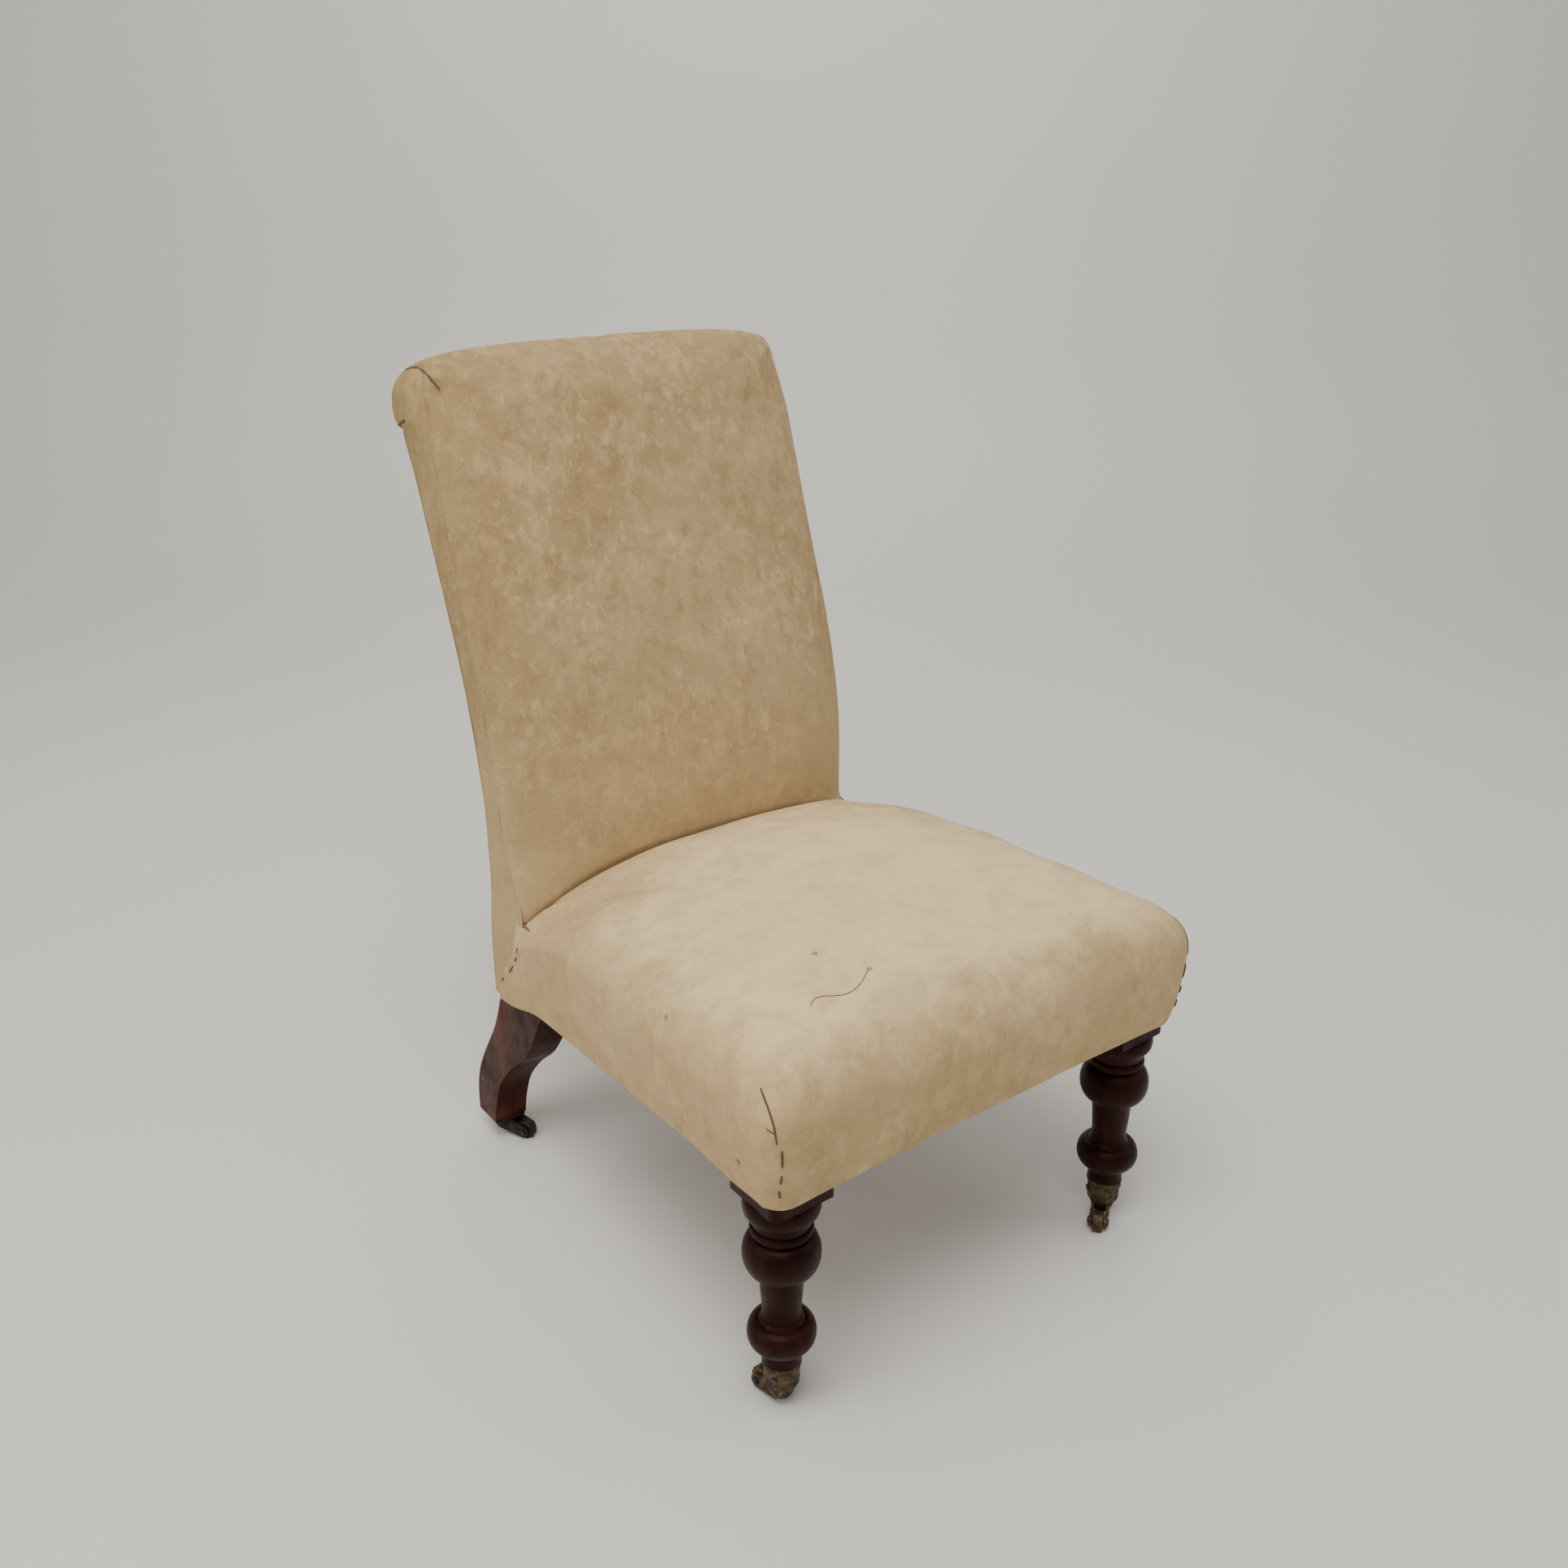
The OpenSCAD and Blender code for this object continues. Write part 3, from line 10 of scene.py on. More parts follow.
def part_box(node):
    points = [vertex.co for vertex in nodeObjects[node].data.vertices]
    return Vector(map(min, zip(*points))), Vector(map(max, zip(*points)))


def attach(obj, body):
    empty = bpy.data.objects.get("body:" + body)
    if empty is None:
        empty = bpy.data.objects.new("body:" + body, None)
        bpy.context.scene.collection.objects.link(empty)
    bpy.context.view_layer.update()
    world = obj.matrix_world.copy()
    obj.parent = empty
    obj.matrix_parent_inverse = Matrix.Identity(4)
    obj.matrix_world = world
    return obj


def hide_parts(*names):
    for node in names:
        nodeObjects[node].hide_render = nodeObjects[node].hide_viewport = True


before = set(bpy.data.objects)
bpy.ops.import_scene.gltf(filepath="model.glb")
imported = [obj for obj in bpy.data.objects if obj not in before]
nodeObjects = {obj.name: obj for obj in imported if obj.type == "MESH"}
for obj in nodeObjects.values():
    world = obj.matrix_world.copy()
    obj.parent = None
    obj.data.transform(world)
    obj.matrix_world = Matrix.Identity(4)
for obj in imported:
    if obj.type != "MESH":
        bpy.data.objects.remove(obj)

startTime = time.time()
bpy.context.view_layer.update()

# All lengths are metres. Heights and widths are the model's own; y is counted from the
# front leg axes and moved by rowY when a piece is made.
coverFront = 0.048  # how far the seat cover stands before those axes
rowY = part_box("seat_cover")[0][1] + coverFront
bothSides = (("right", -1), ("left", 1))  # the sitter's sides and the sign of x


def say(text):
    print("%5.1f s  %s" % (time.time() - startTime, text))


def ease(t):
    t = min(max(t, 0.0), 1.0)
    return t * t * (3 - 2 * t)


def mix(a, b, t):
    return a + (b - a) * t


def linear(rgb):
    return [((c / 255 + 0.055) / 1.055) ** 2.4 if c > 10 else c / 255 / 12.92 for c in rgb] + [1.0]


# Camera, fitted to the legs, the seat and the back of the photograph
camera = {"lens": 33.87, "place": (-0.8201, -1.0963, 1.0239), "tilt": 67.30, "turn": -37.17}
camData = bpy.data.cameras.new("photo_camera")
camData.sensor_width = 36
camData.lens = camera["lens"]
camObject = bpy.data.objects.new("photo_camera", camData)
camObject.location = camera["place"]
camObject.rotation_euler = (math.radians(camera["tilt"]), 0, math.radians(camera["turn"]))
bpy.context.collection.objects.link(camObject)
bpy.context.scene.camera = camObject


# Node materials
# One material and short ways to add nodes to it.
class Shader:

    def __init__(self, name):
        self.material = bpy.data.materials.new(name)
        self.material.use_nodes = True
        self.tree = self.material.node_tree
        self.surface = self.tree.nodes["Principled BSDF"]
        self.coords = self.tree.nodes.new("ShaderNodeTexCoord").outputs["Object"]

    def join(self, source, target):
        if hasattr(source, "links"):
            self.tree.links.new(source, target)
        else:
            target.default_value = source

    def node(self, kind, inputs=(), **settings):
        made = self.tree.nodes.new("ShaderNode" + kind)
        for key, value in settings.items():
            setattr(made, key, value)
        for key, value in dict(inputs).items():
            self.join(value, made.inputs[key])
        return made

    def stretched(self, scale, turn=(0, 0, 0)):
        return self.node("Mapping", {
            "Vector": self.coords, "Scale": scale, "Rotation": turn}).outputs[0]

    def noise(self, scale, detail=3.0, rough=0.5, vector=None, warp=0.0):
        return self.node("TexNoise", {
            "Vector": vector or self.coords, "Scale": scale, "Detail": detail,
            "Roughness": rough, "Distortion": warp}).outputs["Fac"]

    def cells(self, scale, vector=None, feature="F1"):
        return self.node("TexVoronoi", {"Vector": vector or self.coords, "Scale": scale},
                         feature=feature).outputs["Distance"]

    def remap(self, value, low, high, outLow=0.0, outHigh=1.0):
        return self.node("MapRange", {
            "Value": value, "From Min": low, "From Max": high,
            "To Min": outLow, "To Max": outHigh}, interpolation_type="SMOOTHSTEP").outputs[0]

    def math(self, kind, a, b=0.0):
        made = self.tree.nodes.new("ShaderNodeMath")
        made.operation = kind
        self.join(a, made.inputs[0])
        self.join(b, made.inputs[1])
        return made.outputs[0]

    def blend(self, share, a, b, kind="MIX"):
        made = self.tree.nodes.new("ShaderNodeMix")
        made.data_type = "RGBA"
        made.blend_type = kind
        self.join(share, made.inputs["Factor"])
        self.join(a, made.inputs["A"])
        self.join(b, made.inputs["B"])
        return made.outputs["Result"]

    # Lay a colour over another where mask is 1, by share.
    def stain(self, colour, mask, share, rgb):
        return self.blend(self.math("MULTIPLY", mask, share), colour, linear(rgb))

    def axis(self, index):
        return self.node("SeparateXYZ", {"Vector": self.coords}).outputs[index]

    def near(self, point, inner, outer):
        gap = self.node("VectorMath", {0: self.coords, 1: point}, operation="DISTANCE")
        return self.remap(gap.outputs["Value"], inner, outer, 1.0, 0.0)

    # Stack bump layers, each (height, strength, distance).
    def bump(self, layers):
        normal = None
        for height, strength, distance in layers:
            made = self.node("Bump", {"Height": height, "Strength": strength, "Distance": distance})
            if normal:
                self.join(normal, made.inputs["Normal"])
            normal = made.outputs[0]
        self.join(normal, self.surface.inputs["Normal"])

    # 1 where an edge turns within the radius, 0 on flat faces.
    def edges(self, radius, low, high):
        bevel = self.node("Bevel", {"Radius": radius}, samples=4)
        plain = self.node("NewGeometry")
        dot = self.node("VectorMath", {0: bevel.outputs[0], 1: plain.outputs["Normal"]},
                        operation="DOT_PRODUCT").outputs["Value"]
        return self.remap(dot, high, low, 0.0, 1.0)

    def finish(self, colour, rough, metal=0.0, **sockets):
        self.join(colour, self.surface.inputs["Base Color"])
        self.join(rough, self.surface.inputs["Roughness"])
        self.surface.inputs["Metallic"].default_value = metal
        for key, value in sockets.items():
            self.surface.inputs[key.replace("_", " ")].default_value = value
        return self.material


def rowPoint(x, y, z):
    return (x, y + rowY, z)


# Worn short pile: cloudy fading, fine pale flecks, rubbed and soiled places, and painted shade in
# folds and seams.
def coverCloth(name, light, mid, dark, wear, spots=(), flecks=0.35, mottling=0.3):
    s = Shader(name)
    upright = s.stretched((1.15, 1.15, 0.85))
    cloud = s.noise(8.5, 3, 0.55, warp=0.5)
    patch = s.noise(30, 4, 0.6, warp=0.4)
    colour = s.blend(s.remap(cloud, 0.30, 0.72, 0.2, 0.8), linear(dark), linear(light))
    colour = s.blend(s.remap(patch, 0.36, 0.66, 0.0, 0.5), colour, linear(mid))
    worn = s.remap(s.noise(11, 4, 0.7, warp=0.6), 0.42, 0.60, 0.35, 1.0)
    pale = s.math("MULTIPLY", s.remap(s.noise(56, 3, 0.62, upright, 0.3), 0.44, 0.64), worn)
    dull = s.remap(s.noise(42, 3, 0.62, upright, 0.4), 0.48, 0.70)
    colour = s.stain(colour, pale, mottling, [c * 1.16 for c in light])
    colour = s.stain(colour, dull, mottling, [c * 0.86 for c in dark])
    fleck = s.math("MULTIPLY", s.remap(s.noise(105, 2, 0.5, upright), 0.54, 0.70), worn)
    colour = s.stain(colour, fleck, flecks, [232, 208, 164])
    colour = s.stain(colour, s.remap(s.noise(420, 2, 0.5), 0.55, 0.7), 0.14, [226, 204, 164])
    colour = s.stain(colour, s.remap(s.noise(370, 2, 0.6), 0.55, 0.72), 0.16, [112, 84, 48])
    colour = wear(s, colour)
    # Painted shade: darker in folds, seams and the crease, where less light reaches
    openToLight = s.node("AmbientOcclusion", {"Distance": 0.011}, samples=6).outputs["AO"]
    colour = s.blend(s.remap(openToLight, 0.74, 0.40, 0.0, 0.65), colour, linear([104, 78, 48]))
    for point, radius, share, shade in spots:
        mark = s.near(rowPoint(*point), radius * 0.4, radius)
        ragged = s.math("MULTIPLY", mark, s.remap(s.noise(260, 2), 0.3, 0.6, 0.55, 1.0))
        colour = s.stain(colour, ragged, share, shade)
    threads = s.node("TexWave", {
        "Vector": s.coords, "Scale": 260.0, "Distortion": 2.2,
        "Detail": 2.0, "Detail Scale": 3.0}, bands_direction="Z").outputs["Fac"]
    s.bump([
        (s.noise(24, 4, 0.55), 0.35, 0.0022),
        (threads, 0.1, 0.0004),
        (s.noise(620, 3, 0.7), 0.5, 0.0009),
        (s.cells(760), 0.28, 0.0006)])
    rough = s.remap(s.noise(36, 3), 0.3, 0.7, 0.86, 1.0)
    return s.finish(colour, rough, Sheen_Weight=0.10, Sheen_Roughness=0.5,
                    Sheen_Tint=linear([240, 220, 180]), Specular_IOR_Level=0.12)


# Soiling along the front edge and hem of the seat, and painted light on its top.
def seatWear(s, colour):
    y = s.axis(1)
    z = s.axis(2)
    smudge = s.remap(s.noise(17, 5, 0.7, warp=0.8), 0.42, 0.68)
    ridge = s.math("MULTIPLY", s.remap(y, rowY - 0.055, rowY + 0.035, 1.0, 0.0),
                   s.remap(z, 0.33, 0.372))
    colour = s.stain(colour, s.math("MULTIPLY", ridge, smudge), 0.55, [122, 98, 66])
    hem = s.math("MULTIPLY", s.remap(z, 0.30, 0.215), smudge)
    colour = s.stain(colour, hem, 0.3, [128, 106, 78])
    # Painted light: the top is made paler, as where light falls from above, with an uneven edge
    litEdgeNoise = s.remap(s.noise(26, 4, 0.65, warp=0.6), 0.3, 0.7, -0.014, 0.014)
    top = s.remap(s.math("ADD", z, litEdgeNoise), 0.345, 0.404)
    colour = s.stain(colour, top, 0.80, [233, 208, 162])
    dull = s.remap(s.noise(60, 4, 0.65, warp=0.4), 0.52, 0.70, 0.0, 0.09)
    return s.blend(dull, colour, linear([150, 126, 90]))


# A paler rubbed haze on the back, painted shade along its near edge, soiling along the roll, and
# painted light towards its foot.
def backWear(s, colour):
    haze = s.math("MULTIPLY", s.near(rowPoint(0.09, 0.47, 0.60), 0.04, 0.27),
                  s.remap(s.noise(13, 5, 0.7, warp=1.0), 0.36, 0.66))
    colour = s.stain(colour, haze, 0.22, [208, 186, 148])
    # Painted shade: darker along the near edge, where the back turns away from the light, made uneven
    # by noise
    edge = s.remap(s.math("ABSOLUTE", s.math("ADD", s.axis(0), 0.235)), 0.10, 0.02)
    colour = s.stain(colour, edge, s.remap(s.noise(11, 4, 0.6), 0.3, 0.6, 0.1, 0.4), [138, 112, 66])
    z = s.axis(2)
    roll = s.math("MULTIPLY", s.remap(z, 0.76, 0.80), s.remap(s.noise(21, 4, 0.7), 0.45, 0.7))
    colour = s.stain(colour, roll, 0.25, [140, 112, 72])
    # Painted light: paler towards the foot of the back, lifting the shade the seat casts there
    return s.blend(s.remap(z, 0.56, 0.36, 0.0, 0.4), colour, linear([206, 180, 136]))


# Soiling near the foot of the outside back.
def rearWear(s, colour):
    low = s.math("MULTIPLY", s.remap(s.axis(2), 0.42, 0.22), s.remap(s.noise(15, 4), 0.35, 0.7))
    return s.stain(colour, low, 0.3, [128, 104, 74])


# Old mahogany: long pores, dark polish, redder where it is rubbed.
def polishedWood(name, dark, mid, light, glow, scratchesAndShade=()):
    s = Shader(name)
    grain = s.noise(9, 6, 0.65, s.stretched((9, 9, 0.7)), 0.8)
    pores = s.noise(120, 3, 0.6, s.stretched((5, 5, 0.22)))
    colour = s.blend(s.remap(grain, 0.32, 0.7), linear(dark), linear(mid))
    colour = s.stain(colour, s.remap(s.noise(18, 4, 0.6), 0.45, 0.75), glow, light)
    colour = s.blend(s.remap(pores, 0.56, 0.7, 0.0, 0.6), colour, linear([18, 9, 8]))
    rubbed = s.math("MULTIPLY", s.edges(0.0022, 0.9, 0.995), s.remap(s.noise(60, 3), 0.35, 0.7))
    colour = s.stain(colour, rubbed, 0.55, light)
    # Pale scratches, and spots of painted shade, at given places
    for point, radius, share, shade in scratchesAndShade:
        colour = s.stain(colour, s.near(rowPoint(*point), radius * 0.5, radius), share, shade)
    rough = s.math("ADD", s.remap(s.noise(45, 4), 0.3, 0.75, 0.3, 0.5), s.math("MULTIPLY", pores, 0.1))
    s.bump([(pores, 0.12, 0.0004), (s.noise(30, 3), 0.1, 0.0008), (s.cells(210), 0.04, 0.0003)])
    return s.finish(colour, rough, Specular_IOR_Level=0.17, Specular_Tint=linear([255, 196, 176]))


# Bare rail wood with saw marks and rays.
def sawnWood(name):
    s = Shader(name)
    grain = s.noise(10, 5, 0.6, s.stretched((1.0, 14, 14)), 0.5)
    saw = s.node("TexWave", {"Vector": s.coords, "Scale": 90.0, "Distortion": 1.4, "Detail": 2.0},
                 bands_direction="DIAGONAL").outputs["Fac"]
    ray = s.remap(s.cells(330, s.stretched((0.5, 1, 1))), 0.1, 0.3, 0.35, 0.0)
    colour = s.blend(s.remap(grain, 0.3, 0.7), linear([150, 112, 76]), linear([196, 160, 118]))
    colour = s.blend(ray, colour, linear([120, 84, 54]))
    colour = s.blend(s.remap(s.noise(14, 4), 0.5, 0.75, 0.0, 0.4), colour, linear([112, 84, 60]))
    s.bump([(saw, 0.2, 0.0004), (grain, 0.2, 0.0005)])
    return s.finish(colour, s.remap(grain, 0.3, 0.7, 0.6, 0.8))


# Dull metal with patches of crust by noise and bright rubbed edges.
def agedMetal(name, clean, dull, crust, rough, metal, crustShare):
    s = Shader(name)
    patch = s.remap(s.noise(95, 5, 0.65, warp=0.5), 0.38, 0.64)
    colour = s.blend(patch, linear(dull), linear(clean))
    grime = s.remap(s.noise(240, 4, 0.7), 0.48, 0.66)
    colour = s.stain(colour, grime, crustShare, crust)
    bright = s.math("MULTIPLY", s.edges(0.0012, 0.88, 0.995), s.remap(s.noise(130, 3), 0.3, 0.6))
    colour = s.stain(colour, bright, 0.6, [min(255, c * 1.45) for c in clean])
    roughness = s.math("ADD", s.remap(patch, 0.0, 1.0, rough + 0.22, rough),
                       s.math("MULTIPLY", grime, 0.2))
    s.bump([(s.noise(310, 4, 0.7), 0.25, 0.0004), (grime, 0.3, 0.0003)])
    return s.finish(colour, roughness, metal)


# Plain weave of coarse yarn with slubs; gap darkens the holes between the yarns.
def wovenJute(name, light, dark, pitch, gap):
    s = Shader(name)
    count = 1 / pitch
    parts = s.node("SeparateXYZ", {"Vector": s.coords})
    across = s.math("SINE", s.math("MULTIPLY", parts.outputs[0], math.pi * count))
    along = s.math("SINE", s.math("MULTIPLY", s.math("ADD", parts.outputs[1], parts.outputs[2]),
                                  math.pi * count))
    over = s.math("ABSOLUTE", s.math("MULTIPLY", across, along))
    slub = s.noise(55, 4, 0.7, s.stretched((0.3, 1.6, 1.6)))
    colour = s.blend(s.remap(slub, 0.3, 0.72), linear(dark), linear(light))
    colour = s.blend(s.remap(over, 0.0, gap, 0.75, 0.0), colour, linear([58, 44, 26]))
    colour = s.blend(s.remap(s.noise(12, 4), 0.45, 0.75, 0.0, 0.4), colour, linear([104, 84, 56]))
    s.bump([(over, 0.7, 0.0009), (s.noise(800, 3), 0.4, 0.0005)])
    return s.finish(colour, s.remap(slub, 0.3, 0.7, 0.85, 1.0), Sheen_Weight=0.12)


# Horsehair: dark rings and paler tangles.
def curledHair(name):
    s = Shader(name)
    curl = s.node("TexWave", {"Vector": s.coords, "Scale": 75.0, "Distortion": 14.0, "Detail": 4.0,
                              "Detail Scale": 2.5}, wave_type="RINGS").outputs["Fac"]
    tangle = s.noise(210, 5, 0.75, warp=2.0)
    colour = s.blend(s.remap(curl, 0.3, 0.8), linear([38, 29, 22]), linear([92, 74, 56]))
    colour = s.blend(s.remap(tangle, 0.45, 0.7, 0.0, 0.5), colour, linear([132, 110, 84]))
    s.bump([(curl, 0.9, 0.002), (tangle, 0.8, 0.0015)])
    return s.finish(colour, s.remap(tangle, 0.3, 0.7, 0.7, 0.95))


# Places of the marks and of painted shade: (point, radius, share, colour)
seatSpots = [
    ((-0.043, 0.274, 0.393), 0.0050, 0.75, [98, 74, 44]),
    ((-0.117, 0.077, 0.393), 0.0042, 0.80, [92, 70, 42]),
    ((-0.092, 0.033, 0.388), 0.0042, 0.70, [112, 88, 60]),
    ((-0.242, 0.124, 0.351), 0.0040, 0.70, [124, 88, 60]),
    ((-0.254, 0.002, 0.279), 0.0042, 0.80, [90, 70, 44]),
    ((0.121, -0.046, 0.373), 0.0300, 0.35, [118, 94, 62]),
    ((0.035, 0.180, 0.395), 0.0450, 0.12, [160, 134, 96])]
legScratchesAndShade = [
    ((-0.2335, 0.551, 0.066), 0.0035, 0.7, [150, 112, 96]),
    ((-0.2335, 0.541, 0.067), 0.0035, 0.7, [150, 112, 96]),
    ((-0.2335, 0.531, 0.068), 0.0035, 0.7, [150, 112, 96]),
    ((-0.2335, 0.522, 0.069), 0.0030, 0.7, [150, 112, 96]),
    # Painted shade: a near-black spot for the shadow in the hollow where the leg's sweep meets its
    # foot
    ((-0.2300, 0.465, 0.106), 0.0040, 0.8, [16, 8, 8])]

# Painted light: the seat's cloth is a lighter copy of the back's, as the seat lies more under the
# light
seatClothLit = coverCloth("seat_cloth_lit", [206, 180, 136], [190, 162, 117], [178, 150, 106],
                       seatWear, seatSpots, flecks=0.18, mottling=0.22)
backCloth = coverCloth("back_cloth", [174, 150, 110], [166, 140, 99], [156, 129, 89],
                       backWear, flecks=0.24, mottling=0.46)
rearCloth = coverCloth("rear_cloth", [186, 160, 114], [170, 143, 100], [154, 127, 86], rearWear)
legWood = polishedWood("front_leg_wood", [14, 4, 4], [36, 13, 11], [74, 33, 25], 0.35)
rearLegWood = polishedWood("rear_leg_wood", [30, 11, 9], [58, 25, 19], [112, 58, 42], 0.45, legScratchesAndShade)
railWood = sawnWood("rail_wood")
brassMetal = agedMetal("old_brass", [98, 82, 56], [60, 48, 34], [46, 46, 34], 0.4, 0.7, 0.6)
ironMetal = agedMetal("old_iron", [64, 58, 54], [38, 33, 31], [70, 44, 30], 0.42, 0.8, 0.35)
tackMetal = agedMetal("blued_tacks", [74, 76, 84], [44, 44, 50], [66, 48, 38], 0.35, 0.9, 0.2)
springMetal = agedMetal("coppered_wire", [150, 116, 84], [104, 84, 64], [84, 56, 36], 0.32, 0.9, 0.25)
webCloth = wovenJute("web_cloth", [172, 142, 98], [128, 100, 64], 0.0024, 0.22)
hessianCloth = wovenJute("hessian_cloth", [164, 136, 94], [122, 96, 62], 0.0019, 0.34)
hairMat = curledHair("curled_hair")

# The look of each CAD node, by the start of its name
nodeLooks = {
    "front_leg": legWood, "rear_leg": rearLegWood, "front_caster_cup": brassMetal,
    "rear_caster_plate": ironMetal, "caster_screws": tackMetal, "caster_spindle": ironMetal,
    "caster_axle": tackMetal, "caster_horn_front": brassMetal, "caster_horn_rear": ironMetal,
    "caster_wheel_front": brassMetal, "caster_wheel_rear": ironMetal, "seat_webbing": webCloth,
    "back_webbing": webCloth, "seat_hessian": hessianCloth, "back_hessian": hessianCloth,
    "seat_stuffing": hairMat, "back_stuffing": hairMat, "top_roll_stuffing": hairMat,
    "seat_springs": springMetal, "webbing_tacks": tackMetal, "cover_tacks": tackMetal,
    "corner_block_screws": tackMetal, "frame_dowels": railWood, "front_seat_rail": railWood,
    "rear_seat_rail": railWood, "side_seat_rail": railWood, "front_corner_block": railWood,
    "rear_corner_block": railWood, "back_top_rail": railWood, "back_lower_rail": railWood,
    "seat_cover": seatClothLit, "inside_back_cover": backCloth, "outside_back_cover": rearCloth,
    "back_facing": backCloth}
for nodeName, nodeObject in nodeObjects.items():
    look = max((key for key in nodeLooks if nodeName.startswith(key)), key=len)
    for materialSlot in nodeObject.material_slots:
        materialSlot.material = nodeLooks[look]
say("materials")


# Meshes
def makeMesh(name, points, faces, material, body="chair"):
    mesh = bpy.data.meshes.new(name)
    mesh.from_pydata([rowPoint(*p) for p in points], [], faces)
    mesh.update()
    mesh.polygons.foreach_set("use_smooth", [True] * len(mesh.polygons))
    made = bpy.data.objects.new(name, mesh)
    bpy.context.collection.objects.link(made)
    made.data.materials.append(material)
    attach(made, body)
    return made


def gridFaces(rows, columns, first=0, flip=False):
    faces = []
    for i in range(rows - 1):
        for j in range(columns - 1):
            a = first + i * columns + j
            quad = (a, a + 1, a + columns + 1, a + columns)
            faces.append(quad[::-1] if flip else quad)
    return faces


def addModifier(piece, kind, **settings):
    made = piece.modifiers.new(kind.lower(), kind)
    for key, value in settings.items():
        setattr(made, key, value)
    return made


# Apply every modifier of a piece to its mesh.
def freeze(piece):
    shaped = piece.evaluated_get(bpy.context.evaluated_depsgraph_get())
    mesh = bpy.data.meshes.new_from_object(shaped)
    piece.modifiers.clear()
    piece.data = mesh


def pointsOf(mesh):
    flat = np.empty(len(mesh.vertices) * 3)
    mesh.vertices.foreach_get("co", flat)
    return flat.reshape(-1, 3)


clothSettings = {
    "use_pressure": True, "vertex_group_mass": "held", "tension_stiffness": 22,
    "compression_stiffness": 14, "shear_stiffness": 9, "bending_stiffness": 2.2, "quality": 5}


# Let air pressure fill a cloth that is held where hold is 1, and limit how far it moves.
def plump(piece, hold, cap, pressure, frames=16):
    start = pointsOf(piece.data)
    group = piece.vertex_groups.new(name="held")
    for index, share in enumerate(hold):
        if share > 0:
            group.add([index], share, "REPLACE")
    cloth = addModifier(piece, "CLOTH")
    for key, value in clothSettings.items():
        setattr(cloth.settings, key, value)
    cloth.settings.uniform_pressure_force = pressure
    cloth.settings.effector_weights.gravity = 0
    cloth.collision_settings.use_collision = False
    cloth.point_cache.frame_end = frames
    for step in range(1, frames + 1):
        bpy.context.scene.frame_set(step)
    freeze(piece)
    bpy.context.scene.frame_set(1)
    piece.vertex_groups.clear()
    moved = pointsOf(piece.data) - start
    length = np.linalg.norm(moved, axis=1)
    limit = cap * np.tanh(length / cap) / np.maximum(length, 1e-9)
    end = start + moved * limit[:, None]
    piece.data.vertices.foreach_set("co", end.ravel())
    piece.data.update()
    say("%s plumped by %.1f mm at most" % (piece.name, 1000 * (length * limit).max()))


# Move points along their normals by smooth noise, each layer (size, depth, weight).
def wrinkle(piece, layers):
    mesh = piece.data
    flat = np.empty(len(mesh.vertices) * 3)
    mesh.vertices.foreach_get("normal", flat)
    normals = flat.reshape(-1, 3)
    points = pointsOf(mesh)
    out = points.copy()
    for size, depth, weight in layers:
        for i, p in enumerate(points):
            share = weight(p) if weight else 1.0
            if share > 0:
                out[i] += normals[i] * depth * share * noise.noise(Vector(p) / size)
    mesh.vertices.foreach_set("co", out.ravel())
    mesh.update()


# Rings of a round thread along a path, thinner at both ends.
def tubePoints(path, radius, sides=6):
    offAxis = Vector((0.31, 0.27, 0.91))
    endShare = 0.55
    rings = []
    for i, p in enumerate(path):
        a = Vector(path[max(i - 1, 0)])
        b = Vector(path[min(i + 1, len(path) - 1)])
        way = (b - a).normalized()
        side = way.cross(offAxis).normalized()
        up = way.cross(side)
        size = radius * (endShare if i in (0, len(path) - 1) else 1.0)
        rings.append([tuple(Vector(p) + (side * math.cos(t) + up * math.sin(t)) * size)
                      for t in [2 * math.pi * k / sides for k in range(sides)]])
    return rings


# One piece of several threads with closed ends.
def makeThreads(name, paths, radius, material):
    points, faces = [], []
    for path in paths:
        rings = tubePoints(path, radius)
        sides = len(rings[0])
        first = len(points)
        for ring in rings:
            points.extend(ring)
        for i in range(len(rings) - 1):
            for k in range(sides):
                a = first + i * sides + k
                b = first + i * sides + (k + 1) % sides
                faces.append((a, b, b + sides, a + sides))
        faces.append(tuple(first + k for k in range(sides))[::-1])
        faces.append(tuple(len(points) - sides + k for k in range(sides)))
    return makeMesh(name, points, faces, material)


# Seat and back sizes
seat = {
    "frontY": -coverFront, "frontHalf": 0.258, "rearHalf": 0.238, "rearY": 0.447,
    "cornerR": 0.022, "rearR": 0.036, "centreY": 0.180, "crown": 0.3935, "shoulder": 0.325,
    "rearLift": 0.020,  # rise of the shoulder line in the middle of the crease
    "nearDrop": 0.066, "farDrop": 0.048,  # its fall at the rear corners, sitter's right and left
    "nearRound": 0.32, "farRound": 0.07,  # how steeply the top falls to those corners
    "ledge": 0.2920, "legHeadTop": 0.3052,  # kept above the heads of the back legs
    "hem": 0.243, "hemRise": 0.007, "hemSlope": 0.0825, "flapSlope": 0.22,
    "tuck": 0.0085, "flapShift": 0.0484, "flapX": 0.2276,
    # Inward and up under the hem; rearward and inward at the wall's rear ends
    "hemFold": [(0.0009, -0.0008), (0.0021, 0.0002), (0.0024, 0.004), (0.0024, 0.009)],
    "endFold": [(0.0016, 0.0010), (0.0022, 0.0030), (0.0014, 0.0056)],
    "creaseDrops": (0.005, 0.011), "rings": 42, "wallRows": 17, "tension": 0.0045}
